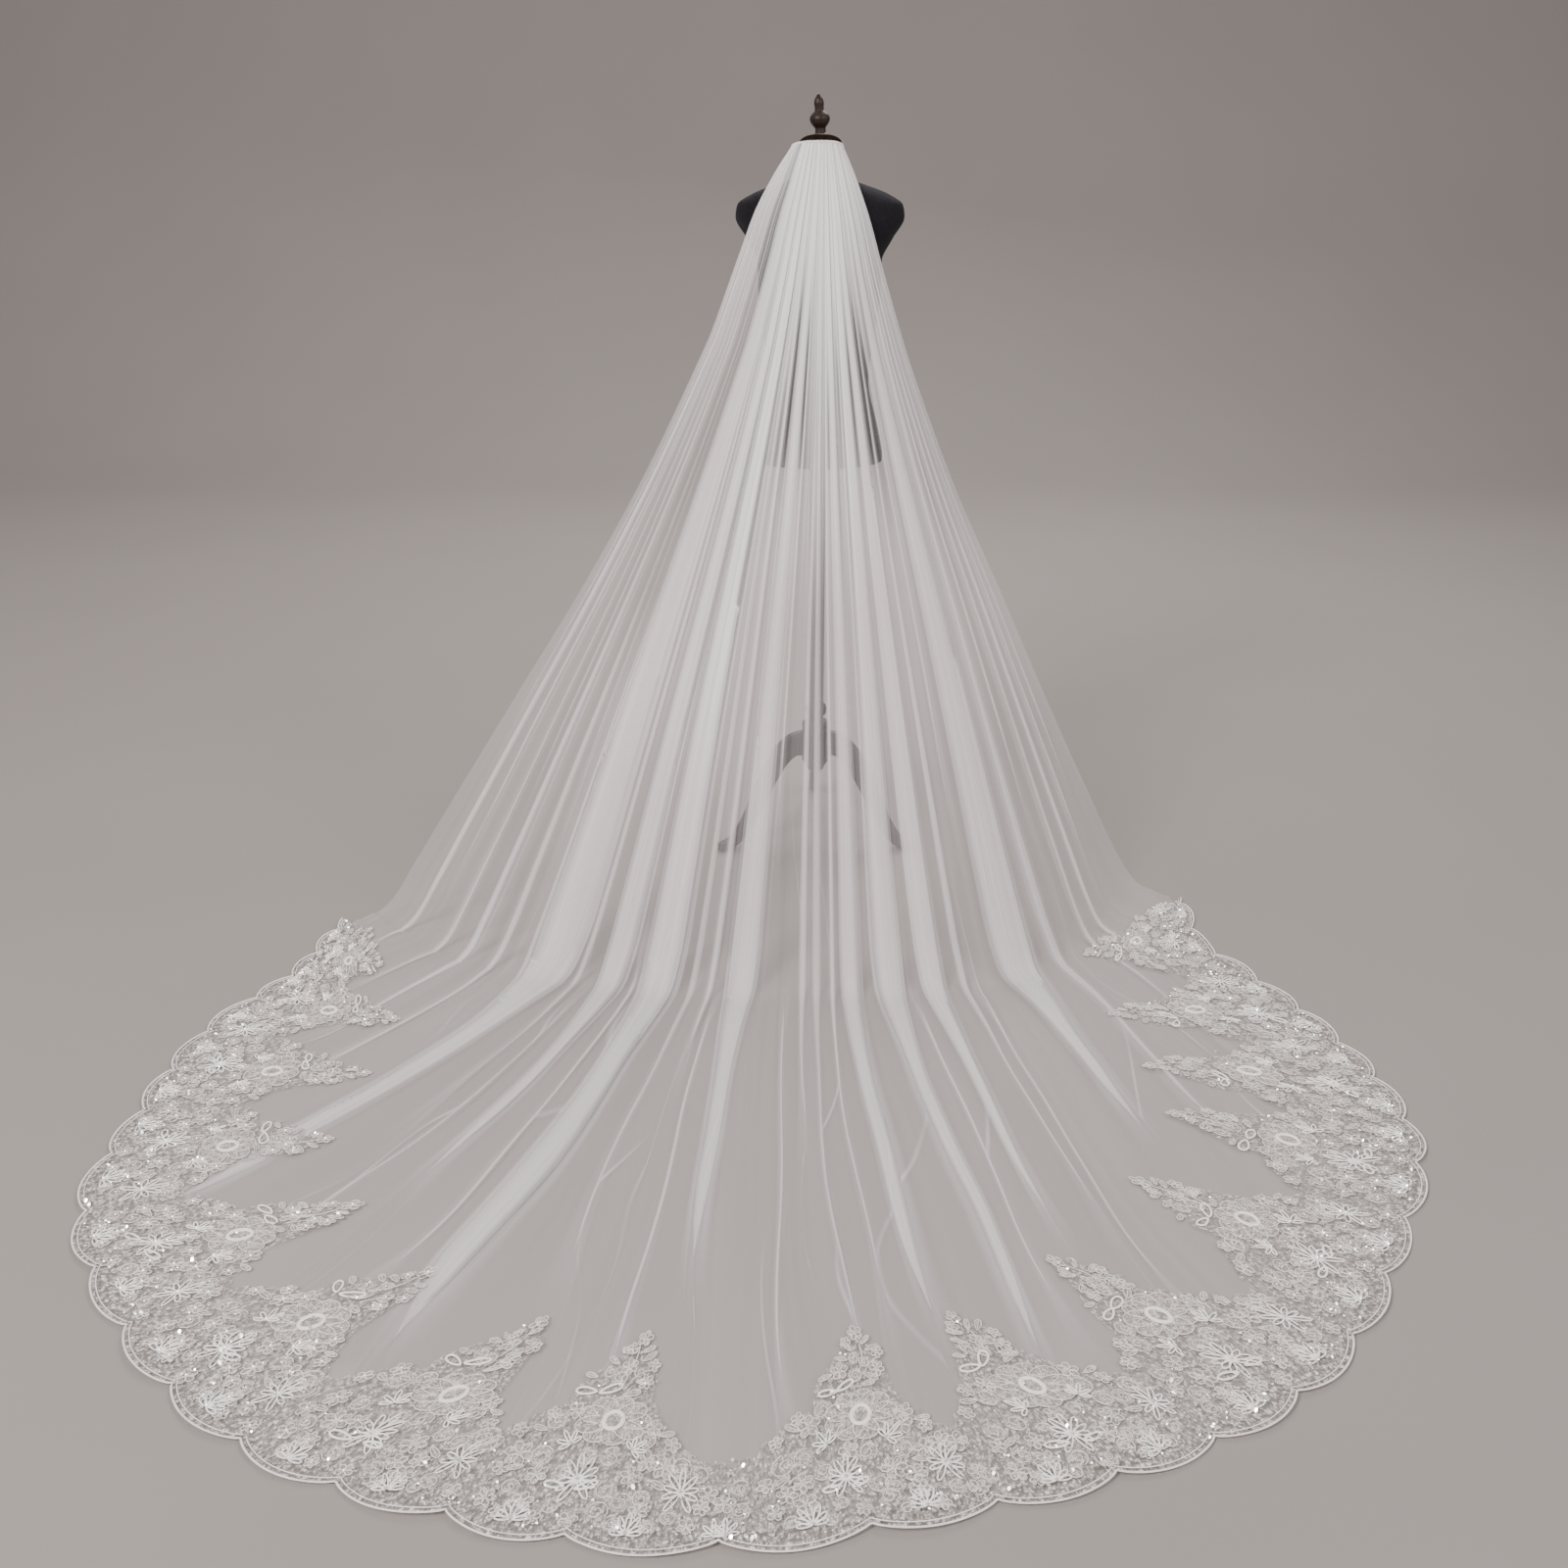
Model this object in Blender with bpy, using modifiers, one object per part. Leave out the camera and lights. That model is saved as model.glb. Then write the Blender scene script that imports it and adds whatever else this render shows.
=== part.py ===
"""Cathedral bridal veil, gathered on a comb and shown on a limbless dress form.

Units are metres and +Z is up.  Every shape is worked out from the form's own
axis, which stands at (0, 0); an empty then carries the whole part so that the
middle of its footprint on the floor is the origin.  The form's back faces -Y,
and the train is drawn out that way.

A place on the cloth has two coordinates.  "across" runs from 0 at the left
side edge to 1 at the right one.  "down" is 0 at the comb, 1 where the cloth
lands on the floor and 2 at the hem.
"""

import math
from collections import namedtuple

import bmesh
import bpy
import numpy as np

# ---------------------------------------------------------------- driving sizes

FORM_X = 0.1074  # the form's axis, from the middle of the footprint
FORM_Y = 0.9802

NET_WALL = 0.0012
LACE_WALL = 0.0012
SEAM_GAP = 0.0003  # air between pieces that touch

NECK_RADIUS = 0.0470
NECK_TOP = 1.6450
TORSO_BOTTOM = 0.9560
TORSO_SIDES = 24
TORSO_RINGS = 29  # one at each row of its table and one between

COMB_WALL = 0.0022
COMB_TOP = 1.6390
COMB_BAR = 0.0070
COMB_TOOTH = 0.0400
COMB_ARC = 0.0980  # its length, measured round the neck
COMB_TEETH = 14

GATHER_TOP = 1.6400
GATHER_ARC = 0.1180  # the gathered edge, measured round the neck
GATHER_BULK = 0.0035  # gathers lying on each other, over the plain wall
GATHER_REACH = 0.030  # how far "down" that bulk goes
GATHER_RADIUS = NECK_RADIUS + COMB_WALL + 2 * SEAM_GAP

SHOULDER_LIFT = 0.044  # how far the side edges ride out over the shoulders
SHOULDER_DOWN = 0.105  # where they do so
LANDING_TURN = 0.8  # how far the folds turn to the front as they land
TRAIN_START_PULL = 0.9
TRAIN_END_PULL = 0.7

FallRow = namedtuple("FallRow", "down left middle right")
FALL_SHAPE = (  # height as a share of GATHER_TOP, at the side edges and mid-way
    FallRow(0.00, 1.000, 1.0000, 1.000),
    FallRow(0.10, 0.895, 0.8775, 0.868),
    FallRow(0.20, 0.765, 0.7560, 0.735),
    FallRow(0.35, 0.587, 0.5780, 0.563),
    FallRow(0.50, 0.435, 0.4060, 0.419),
    FallRow(0.65, 0.299, 0.2450, 0.274),
    FallRow(0.80, 0.171, 0.1040, 0.142),
    FallRow(0.90, 0.090, 0.0325, 0.062),
    FallRow(0.97, 0.026, 0.0035, 0.016),
    FallRow(1.00, 0.000, 0.0000, 0.000),
)

HEM_CENTRE = np.array((-0.11, -1.15))
HEM_INSET = 0.022  # net stops this far inside the lace's outline

HemRow = namedtuple("HemRow", "angle reach")
HEM_OUTLINE = (  # reach of the train from HEM_CENTRE; degrees, 0 towards +X
    HemRow(146, 1.165),
    HemRow(160, 1.100),
    HemRow(172, 1.150),
    HemRow(184, 1.165),
    HemRow(200, 1.222),
    HemRow(213, 1.195),
    HemRow(230, 1.165),
    HemRow(248, 1.110),
    HemRow(266, 1.080),
    HemRow(284, 1.055),
    HemRow(300, 1.085),
    HemRow(316, 1.130),
    HemRow(334, 1.145),
    HemRow(350, 1.185),
    HemRow(362, 1.160),
    HemRow(374, 1.120),
    HemRow(387, 1.095),
    HemRow(399, 1.230),
)

RayRow = namedtuple("RayRow", "across land_x land_y hem_angle")
RAYS = (  # where each lengthwise line of the cloth lands and ends
    RayRow(0.00, -1.025, -0.480, 146),
    RayRow(0.15, -0.790, -0.700, 178),
    RayRow(0.30, -0.510, -0.820, 212),
    RayRow(0.46, -0.180, -0.880, 262),
    RayRow(0.64, 0.160, -0.870, 298),
    RayRow(0.82, 0.510, -0.740, 332),
    RayRow(1.00, 0.785, -0.345, 399),
)

# Folds in order from left to right.  "share" and "floor" are a fold's width as
# a share of the cloth's width, hanging and lying; "start" and "end" are places
# down the cloth; "rise" is its height while it hangs.
Fold = namedtuple("Fold", "across share floor start end rise")
FOLDS = (
    Fold(0.0500, 0.011, 0.005, -1, 0.98, 0.008),
    Fold(0.0780, 0.010, 0.005, -1, 0.93, 0.008),
    Fold(0.1130, 0.012, 0.006, -1, 1.02, 0.010),
    Fold(0.1320, 0.010, 0.005, -1, 0.70, 0.008),
    Fold(0.1520, 0.014, 0.008, -1, 1.18, 0.012),
    Fold(0.1900, 0.018, 0.008, -1, 1.22, 0.012),
    Fold(0.2055, 0.009, 0.005, -1, 0.64, 0.008),
    Fold(0.2520, 0.070, 0.018, -1, 1.72, 0.026),
    Fold(0.2975, 0.012, 0.006, -1, 0.60, 0.009),
    Fold(0.3240, 0.034, 0.010, -1, 1.55, 0.016),
    Fold(0.3710, 0.052, 0.020, -1, 1.85, 0.024),
    Fold(0.4090, 0.012, 0.005, -1, 1.00, 0.008),
    Fold(0.4330, 0.016, 0.005, -1, 0.66, 0.010),
    Fold(0.4630, 0.034, 0.014, -1, 1.66, 0.018),
    Fold(0.4900, 0.012, 0.005, -1, 0.62, 0.009),
    Fold(0.5120, 0.010, 0.005, 1.0, 1.75, 0.010),
    Fold(0.5300, 0.014, 0.005, -1, 0.78, 0.010),
    Fold(0.5560, 0.026, 0.006, -1, 1.05, 0.012),
    Fold(0.5880, 0.028, 0.013, -1, 1.78, 0.014),
    Fold(0.6340, 0.036, 0.011, -1, 1.88, 0.018),
    Fold(0.6800, 0.034, 0.010, -1, 1.66, 0.016),
    Fold(0.7120, 0.020, 0.006, -1, 0.72, 0.012),
    Fold(0.7360, 0.014, 0.005, -1, 0.60, 0.010),
    Fold(0.7780, 0.056, 0.016, -1, 1.55, 0.024),
    Fold(0.8300, 0.028, 0.010, -1, 1.30, 0.014),
    Fold(0.8570, 0.012, 0.005, -1, 0.66, 0.009),
    Fold(0.8840, 0.010, 0.005, -1, 0.96, 0.008),
    Fold(0.9120, 0.012, 0.006, -1, 0.62, 0.009),
    Fold(0.9400, 0.012, 0.006, -1, 0.97, 0.010),
)
FOLD_FADE = 0.25  # a fold dies away over this much of "down"
FOLD_FLOOR_RISE = 0.30  # share of its height that a fold keeps on the floor
FOLD_LEAST_SHARE = 0.004
FOLD_TOP = 0.28  # half of its flat top, as a share of its width
FOLD_STEEPEST = 1.2  # rise over run of a fold's sides

PANEL_EDGES = (0.0, 0.170, 0.420, 0.609, 0.848, 1.0)  # stretches, between folds
HEADING_ROWS = (0.0, 0.02, 0.045)
FALL_ROWS = (0.045, 0.10, 0.19, 0.31, 0.46, 0.62, 0.78, 0.90, 1.0)
TRAIN_ROWS = (1.0, 1.07, 1.18, 1.30, 1.42, 1.54, 1.66, 2.0)
TRAIN_ROW_GAP = 0.12  # the widest, up to where the lace begins

LACE_START = 149.0  # degrees round HEM_CENTRE
LACE_END = 392.0
LACE_MOTIFS = 16
LACE_CENTRES = (  # hem length from the lace's start to the middle of each motif
    0.105, 0.318, 0.600, 0.870, 1.193, 1.522, 1.862, 2.196,
    2.602, 2.954, 3.280, 3.617, 3.944, 4.215, 4.475, 4.735,
)
LACE_SECTIONS = (0, 4, 8, 12, 16)  # the border is joined at these motifs
LACE_DEPTH = 0.40
LACE_CLEAR = 0.06  # folds die away over this distance before the lace
SCALLOPS = 2  # in one motif
SCALLOP_RISE = 0.026
SCALLOP_STEPS = 4
LACE_END_TAPER = 0.45  # depth of the border's two end motifs

SprayRow = namedtuple("SprayRow", "off depth")
SPRAY_EDGE = (  # half of one spray; off is a share of the motif's pitch
    SprayRow(0.500, 0.115),
    SprayRow(0.430, 0.150),
    SprayRow(0.385, 0.136),
    SprayRow(0.315, 0.205),
    SprayRow(0.270, 0.190),
    SprayRow(0.195, 0.268),
    SprayRow(0.150, 0.252),
    SprayRow(0.100, 0.322),
    SprayRow(0.070, 0.312),
    SprayRow(0.035, 0.372),
    SprayRow(0.000, 0.400),
)
GapRow = namedtuple("GapRow", "off depth wide deep")
LACE_GAPS = (  # openings cut through each motif, half sizes in metres
    GapRow(0.000, 0.200, 0.008, 0.008),
    GapRow(-0.075, 0.268, 0.008, 0.014),
    GapRow(0.075, 0.268, 0.008, 0.014),
    GapRow(-0.180, 0.165, 0.013, 0.020),
    GapRow(0.180, 0.165, 0.013, 0.020),
    GapRow(-0.330, 0.085, 0.016, 0.016),
    GapRow(0.330, 0.085, 0.016, 0.016),
)
GAP_SIDES = 5

TorsoRow = namedtuple("TorsoRow", "height half_width back front")
TORSO = (
    TorsoRow(TORSO_BOTTOM, 0.150, 0.112, 0.105),
    TorsoRow(0.9800, 0.151, 0.112, 0.106),
    TorsoRow(1.0500, 0.134, 0.100, 0.098),
    TorsoRow(1.1400, 0.115, 0.086, 0.086),
    TorsoRow(1.2500, 0.128, 0.100, 0.106),
    TorsoRow(1.3400, 0.138, 0.108, 0.128),
    TorsoRow(1.4000, 0.139, 0.104, 0.126),
    TorsoRow(1.4500, 0.163, 0.096, 0.108),
    TorsoRow(1.4950, 0.188, 0.082, 0.088),
    TorsoRow(1.5200, 0.184, 0.074, 0.076),
    TorsoRow(1.5450, 0.146, 0.066, 0.066),
    TorsoRow(1.5620, 0.098, 0.058, 0.058),
    TorsoRow(1.5740, 0.062, 0.050, 0.050),
    TorsoRow(1.5860, NECK_RADIUS, NECK_RADIUS, NECK_RADIUS),
    TorsoRow(NECK_TOP, NECK_RADIUS, NECK_RADIUS, NECK_RADIUS),
)

ProfileRow = namedtuple("ProfileRow", "radius height")
CAP_BOTTOM = NECK_TOP + SEAM_GAP
CAP_PROFILE = (  # top to bottom, heights above CAP_BOTTOM
    ProfileRow(0.0000, 0.0190),
    ProfileRow(0.0140, 0.0188),
    ProfileRow(0.0300, 0.0160),
    ProfileRow(0.0410, 0.0102),
    ProfileRow(0.0455, 0.0048),
    ProfileRow(0.0455, 0.0000),
    ProfileRow(0.0000, 0.0000),
)
FINIAL_BOTTOM = CAP_BOTTOM + 0.0190 + SEAM_GAP
FINIAL_LEAN = math.radians(-4.0)
FINIAL_PROFILE = (
    ProfileRow(0.0000, 0.0810),
    ProfileRow(0.0040, 0.0775),
    ProfileRow(0.0090, 0.0700),
    ProfileRow(0.0107, 0.0620),
    ProfileRow(0.0098, 0.0540),
    ProfileRow(0.0098, 0.0485),
    ProfileRow(0.0140, 0.0440),
    ProfileRow(0.0200, 0.0375),
    ProfileRow(0.0220, 0.0310),
    ProfileRow(0.0200, 0.0235),
    ProfileRow(0.0150, 0.0165),
    ProfileRow(0.0115, 0.0115),
    ProfileRow(0.0115, 0.0050),
    ProfileRow(0.0145, 0.0010),
    ProfileRow(0.0000, 0.0010),
)
HUB_TOP = 0.3000
HUB_RADIUS = 0.0340
HUB_PROFILE = (  # heights from the floor
    ProfileRow(0.0000, HUB_TOP),
    ProfileRow(0.0280, HUB_TOP),
    ProfileRow(HUB_RADIUS, 0.2930),
    ProfileRow(HUB_RADIUS, 0.1950),
    ProfileRow(0.0260, 0.1840),
    ProfileRow(0.0160, 0.1660),
    ProfileRow(0.0000, 0.1600),
)
POLE_RADIUS = 0.0190
POLE_BOTTOM = HUB_TOP + SEAM_GAP
POLE_PROFILE = (
    ProfileRow(0.0000, TORSO_BOTTOM - SEAM_GAP),
    ProfileRow(POLE_RADIUS, TORSO_BOTTOM - SEAM_GAP),
    ProfileRow(POLE_RADIUS, 0.3500),
    ProfileRow(0.0250, 0.3400),
    ProfileRow(0.0270, 0.3300),
    ProfileRow(0.0250, 0.3200),
    ProfileRow(POLE_RADIUS, 0.3120),
    ProfileRow(POLE_RADIUS, POLE_BOTTOM),
    ProfileRow(0.0000, POLE_BOTTOM),
)
TURNED_STEPS = 24

LEG_ANGLES = (90.0, 210.0, 330.0)
LEG_THICKNESS = 0.0220
LEG_ROOT = (HUB_RADIUS + SEAM_GAP, 0.2450)
LEG_KNEE = (0.1350, 0.2750)
LEG_ANKLE = (0.1700, 0.0350)
LEG_TOE = (0.2560, 0.0140)
LEG_ROOT_HALF = 0.0330
LEG_TOE_HALF = 0.0130
LEG_STEPS = 8
FOOT_LENGTH = 0.0400


# --------------------------------------------------------------------- materials


def make_material(name, colour, roughness, metallic=0.0):
    """Return a plain Principled material."""
    material = bpy.data.materials.new(name)
    material.use_nodes = True
    shader = material.node_tree.nodes["Principled BSDF"]
    shader.inputs["Base Color"].default_value = (*colour, 1.0)
    shader.inputs["Roughness"].default_value = roughness
    shader.inputs["Metallic"].default_value = metallic
    return material


# ------------------------------------------------------------------ small maths


def through(xs, ys, x):
    """Read a smooth curve through the points (xs, ys), never past its neighbours."""
    xs = np.asarray(xs, float)
    ys = np.asarray(ys, float)
    x = np.clip(x, xs[0], xs[-1])
    step = np.diff(xs)
    slope = np.diff(ys) / step
    before, after = slope[:-1], slope[1:]
    same_way = before * after > 0
    total = np.where(same_way, before + after, 1.0)
    middle = np.where(same_way, 2.0 * before * after / total, 0.0)
    tangent = np.concatenate(((slope[0],), middle, (slope[-1],)))
    k = np.clip(np.searchsorted(xs, x, side="right") - 1, 0, len(step) - 1)
    t = (x - xs[k]) / step[k]
    return (
        (2 * t**3 - 3 * t**2 + 1) * ys[k]
        + (t**3 - 2 * t**2 + t) * step[k] * tangent[k]
        + (3 * t**2 - 2 * t**3) * ys[k + 1]
        + (t**3 - t**2) * step[k] * tangent[k + 1]
    )


def column(rows, name):
    """Return one named column of a table."""
    return [getattr(row, name) for row in rows]


def ease(low, high, x):
    """Return 0 below low, 1 above high and a soft ramp between."""
    t = np.clip((x - low) / (high - low), 0.0, 1.0)
    return t * t * (3 - 2 * t)


def unit(vectors):
    """Return the vectors at length 1, and those of no length as they are."""
    return vectors / np.maximum(np.linalg.norm(vectors, axis=-1, keepdims=True), 1e-12)


def hermite(start, end, leaving, arriving, t):
    """Return the cubic that leaves start and reaches end with these tangents."""
    t = t[..., None]
    return (
        (2 * t**3 - 3 * t**2 + 1) * start
        + (t**3 - 2 * t**2 + t) * leaving
        + (3 * t**2 - 2 * t**3) * end
        + (t**3 - t**2) * arriving
    )


# ------------------------------------------------------------- shape of the cloth


def hem_point(angle, inset=0.0):
    """Return the floor point of the hem at this angle, moved in by inset."""
    reach = through(column(HEM_OUTLINE, "angle"), column(HEM_OUTLINE, "reach"), angle)
    turn = np.radians(angle)
    around = np.stack((np.cos(turn), np.sin(turn)), axis=-1)
    return HEM_CENTRE + (reach - inset)[..., None] * around


def hem_outward(angle):
    """Return the direction in which the hem faces at this angle."""
    along = unit(hem_point(angle + 0.5) - hem_point(angle - 0.5))
    return np.stack((along[..., 1], -along[..., 0]), axis=-1)


def drape(across, down):
    """Return the place of the plain, unfolded cloth.

    Each lengthwise line leaves the gathered edge, comes down to the floor in a
    soft hollow curve and then lies along the floor to the hem.
    """
    across, down = np.broadcast_arrays(np.asarray(across, float), np.asarray(down, float))
    turn = (across - 0.5) * GATHER_ARC / GATHER_RADIUS
    start = GATHER_RADIUS * np.stack((np.sin(turn), -np.cos(turn)), axis=-1)
    places = column(RAYS, "across")
    land = np.stack(
        (
            through(places, column(RAYS, "land_x"), across),
            through(places, column(RAYS, "land_y"), across),
        ),
        axis=-1,
    )
    angle = through(places, column(RAYS, "hem_angle"), across)
    end = hem_point(angle, HEM_INSET)

    side = np.abs(2 * across - 1)
    run = land - start
    length = np.linalg.norm(run, axis=-1, keepdims=True)
    forward = LANDING_TURN * (1 - side**2)[..., None] * np.array((0.0, -1.0))
    landing = unit(run / length + forward)

    fall = np.clip(down, 0.0, 1.0)
    plan = hermite(start, land, run, landing * length, fall)
    over = fall / SHOULDER_DOWN
    plan[..., 1] -= SHOULDER_LIFT * side**2 * over * np.exp(1 - over) * (1 - fall)
    shares = [through(column(FALL_SHAPE, "down"), column(FALL_SHAPE, name), fall)
              for name in ("left", "middle", "right")]
    edge = np.where(across < 0.5, shares[0], shares[2])
    height = GATHER_TOP * (shares[1] + (edge - shares[1]) * side**2)

    reach = np.linalg.norm(end - land, axis=-1, keepdims=True)
    train = hermite(
        land,
        end,
        landing * reach * TRAIN_START_PULL,
        hem_outward(angle) * reach * TRAIN_END_PULL,
        np.clip(down - 1, 0.0, 1.0),
    )
    lying = down > 1
    plan = np.where(lying[..., None], train, plan)
    height = np.where(lying, 0.0, height)
    return np.concatenate((plan, height[..., None]), axis=-1)


def drape_frame(across, down):
    """Return the cloth's place, its outward direction and its spread.

    The spread is the number of metres for one unit of "across".
    """
    nudge = 1e-4
    here = drape(across, down)
    left = drape(np.clip(across - nudge, 0, 1), down)
    right = drape(np.clip(across + nudge, 0, 1), down)
    above = drape(across, np.clip(down - nudge, 0, 2))
    below = drape(across, np.clip(down + nudge, 0, 2))
    sideways = right - left
    width = np.clip(across + nudge, 0, 1) - np.clip(across - nudge, 0, 1)
    downward = unit(here - above) + unit(below - here)
    outward = unit(np.cross(downward, sideways))
    return here, outward, np.linalg.norm(sideways, axis=-1) / width


def depth_in_hem(across, down):
    """Return how far a place on the floor lies inside the hem."""
    place = drape(across, np.maximum(down, 1.0))[..., :2] - HEM_CENTRE
    angle = np.degrees(np.arctan2(place[..., 1], place[..., 0])) % 360
    angle = np.where(angle < 90, angle + 360, angle)
    reach = through(column(HEM_OUTLINE, "angle"), column(HEM_OUTLINE, "reach"), angle)
    return reach - np.linalg.norm(place, axis=-1)


def fold_size(fold, down):
    """Return a fold's width as a share of the cloth, and its height."""
    lying = ease(0.85, 1.25, down)
    there = 1 - ease(fold.end - FOLD_FADE, fold.end, down)
    there = there * ease(fold.start, fold.start + FOLD_FADE, down)
    share = (fold.share + (fold.floor - fold.share) * lying) * there
    share = np.maximum(share, FOLD_LEAST_SHARE)
    rise = fold.rise * (1 - (1 - FOLD_FLOOR_RISE) * ease(0.80, 1.10, down)) * there
    place = np.full_like(down, fold.across)
    spread = drape_frame(place, down)[2]
    run = share * spread * (0.5 - FOLD_TOP)
    next_row = np.minimum(down + TRAIN_ROW_GAP, 2.0)
    clear = ease(LACE_DEPTH, LACE_DEPTH + LACE_CLEAR, depth_in_hem(place, next_row))
    clear = np.where(down < 1, np.maximum(clear, 1 - ease(0.90, 1.0, down)), clear)
    return share, np.minimum(rise, FOLD_STEEPEST * run) * clear


def panel_columns(left, right, down):
    """Return "across" and fold height for each column of a panel, row by row."""
    edge_left = np.full_like(down, left)
    edge_right = np.full_like(down, right)
    if left > 0:
        edge_left += 0.5 * SEAM_GAP / drape_frame(edge_left, down)[2]
    if right < 1:
        edge_right -= 0.5 * SEAM_GAP / drape_frame(edge_right, down)[2]
    places = [edge_left]
    heights = [np.zeros_like(down)]
    for fold in FOLDS:
        if not left < fold.across < right:
            continue
        share, rise = fold_size(fold, down)
        for offset, raised in ((-0.5, 0), (-FOLD_TOP, 1), (FOLD_TOP, 1), (0.5, 0)):
            places.append(fold.across + offset * share)
            heights.append(rise * raised)
    places.append(edge_right)
    heights.append(np.zeros_like(down))
    return np.stack(places, axis=-1), np.stack(heights, axis=-1)


def steepness(places, heights, spread):
    """Return the steeper slope beside each column, as rise over run."""
    run = np.maximum(np.diff(places, axis=1) * 0.5 * (spread[:, 1:] + spread[:, :-1]), 1e-6)
    slope = np.abs(np.diff(heights, axis=1)) / run
    flat = np.zeros((len(places), 1))
    return np.maximum(np.hstack((flat, slope)), np.hstack((slope, flat)))


# --------------------------------------------------------------- closed bodies


def new_mesh_object(name, points, faces, material, smooth=True):
    """Add one mesh object to the part."""
    mesh = bpy.data.meshes.new(name)
    mesh.from_pydata([tuple(p) for p in points], [], faces)
    if smooth:
        mesh.shade_smooth()
    mesh.materials.append(material)
    body = bpy.data.objects.new(name, mesh)
    return add_to_part(body)


def add_to_part(body):
    """Link an object into the part's collection, under its empty."""
    PART.objects.link(body)
    body.parent = PLACE
    return body


def wall_body(name, outer, inner, present, material):
    """Build a closed wall between two grids of points.

    present says, cell by cell, where the wall is; where it isn't, the wall is
    cut through.  Both faces of a cell are split along the same diagonal, so
    that the wall keeps its thickness.
    """
    rows, cols = present.shape
    across = cols + 1
    faces = []
    offset = (rows + 1) * across
    for i in range(rows):
        for j in range(cols):
            if not present[i, j]:
                continue
            corners = (
                i * across + j,
                (i + 1) * across + j,
                (i + 1) * across + j + 1,
                i * across + j + 1,
            )
            a, b, c, d = corners
            faces += [(a, b, c), (a, c, d)]
            faces += [(a + offset, c + offset, b + offset), (a + offset, d + offset, c + offset)]
            beyond = ((i, j - 1), (i + 1, j), (i, j + 1), (i - 1, j))
            for k, (ni, nj) in enumerate(beyond):
                if 0 <= ni < rows and 0 <= nj < cols and present[ni, nj]:
                    continue
                p, q = corners[k], corners[(k + 1) % 4]
                faces += [(q, p, p + offset), (q, p + offset, q + offset)]
    points = np.concatenate((outer.reshape(-1, 3), inner.reshape(-1, 3)))
    used = sorted({index for face in faces for index in face})
    place = {index: new for new, index in enumerate(used)}
    faces = [tuple(place[index] for index in face) for face in faces]
    return new_mesh_object(name, points[used], faces, material)


def half_gap(across, down, way):
    """Return the step of "down" that leaves half a seam's gap here."""
    nudge = 1e-3 * way
    run = drape(across, np.full_like(across, down + nudge)) - drape(across, down)
    return 0.5 * SEAM_GAP * abs(nudge) / np.linalg.norm(run, axis=-1)


def cloth_body(name, left, right, rows, material):
    """Build one stretch of the net between two places across, with its folds."""
    down = np.array(rows, float)
    places, heights = panel_columns(left, right, down)
    deep = np.repeat(down[:, None], places.shape[1], axis=1)
    outward, spread = drape_frame(places, deep)[1:]
    if rows[0] > 0:
        deep[0] += half_gap(places[0], rows[0], 1)
    if rows[-1] < 2:
        deep[-1] -= half_gap(places[-1], rows[-1], -1)
    base = drape(places, deep)
    thick = NET_WALL * np.sqrt(1 + steepness(places, heights, spread) ** 2)
    thick = thick + GATHER_BULK * np.exp(-((deep / GATHER_REACH) ** 2))
    inner = base + outward * heights[..., None]
    outer = inner + outward * thick[..., None]
    present = np.ones((len(down) - 1, places.shape[1] - 1), bool)
    return wall_body(name, outer, inner, present, material)


def turned_body(name, profile, material, lift=0.0):
    """Turn a profile, listed from its top down, round the Z axis."""
    mesh = bpy.data.meshes.new(name)
    points = [(row.radius, 0.0, row.height + lift) for row in profile]
    edges = [(i, i + 1) for i in range(len(points) - 1)]
    mesh.from_pydata(points, edges, [])
    mesh.materials.append(material)
    body = bpy.data.objects.new(name, mesh)
    screw = body.modifiers.new("turning", "SCREW")
    screw.steps = TURNED_STEPS
    screw.render_steps = TURNED_STEPS
    screw.use_merge_vertices = True
    screw.merge_threshold = 0.0001
    screw.use_smooth_shade = True
    return add_to_part(body)


def flat_body(name, outlines, thickness, material):
    """Build a flat plate from closed outlines; inner ones are openings."""
    curve = bpy.data.curves.new(name, "CURVE")
    curve.dimensions = "2D"
    curve.fill_mode = "BOTH"
    curve.extrude = thickness / 2
    curve.materials.append(material)
    for outline in outlines:
        spline = curve.splines.new("POLY")
        spline.points.add(len(outline) - 1)
        for point, (x, y) in zip(spline.points, outline):
            point.co = (x, y, 0.0, 1.0)
        spline.use_cyclic_u = True
    body = bpy.data.objects.new(name, curve)
    return add_to_part(body)


# ------------------------------------------------------------------- the veil


def add_comb(material):
    """Build the hair comb: a curved bar with teeth, round the back of the neck."""
    cells = 2 * COMB_TEETH - 1
    inside = NECK_RADIUS + SEAM_GAP
    turns = np.linspace(-0.5, 0.5, cells + 1) * COMB_ARC / inside
    heights = COMB_TOP - np.array((0.0, COMB_BAR, COMB_BAR + COMB_TOOTH))
    around = np.stack((np.sin(turns), -np.cos(turns)), axis=-1)
    grids = []
    for radius in (inside + COMB_WALL, inside):
        ring = np.broadcast_to(radius * around, (3, cells + 1, 2))
        level = np.broadcast_to(heights[:, None, None], (3, cells + 1, 1))
        grids.append(np.concatenate((ring, level), axis=-1))
    present = np.ones((2, cells), bool)
    present[1, 1::2] = False
    wall_body("veil_comb", grids[0], grids[1], present, material)


def add_net(material):
    """Build the gathered heading and the hanging and lying stretches of net."""
    cloth_body("veil_heading", 0.0, 1.0, HEADING_ROWS, material)
    for number, (left, right) in enumerate(zip(PANEL_EDGES, PANEL_EDGES[1:]), start=1):
        cloth_body(f"veil_fall_{number}", left, right, FALL_ROWS, material)
        cloth_body(f"veil_train_{number}", left, right, TRAIN_ROWS, material)


def lace_angles():
    """Return a table of hem length against angle, from the lace's start."""
    angles = np.linspace(LACE_START, LACE_END, 1500)
    steps = np.linalg.norm(np.diff(hem_point(angles), axis=0), axis=-1)
    return angles, np.concatenate(((0.0,), np.cumsum(steps)))


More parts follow.
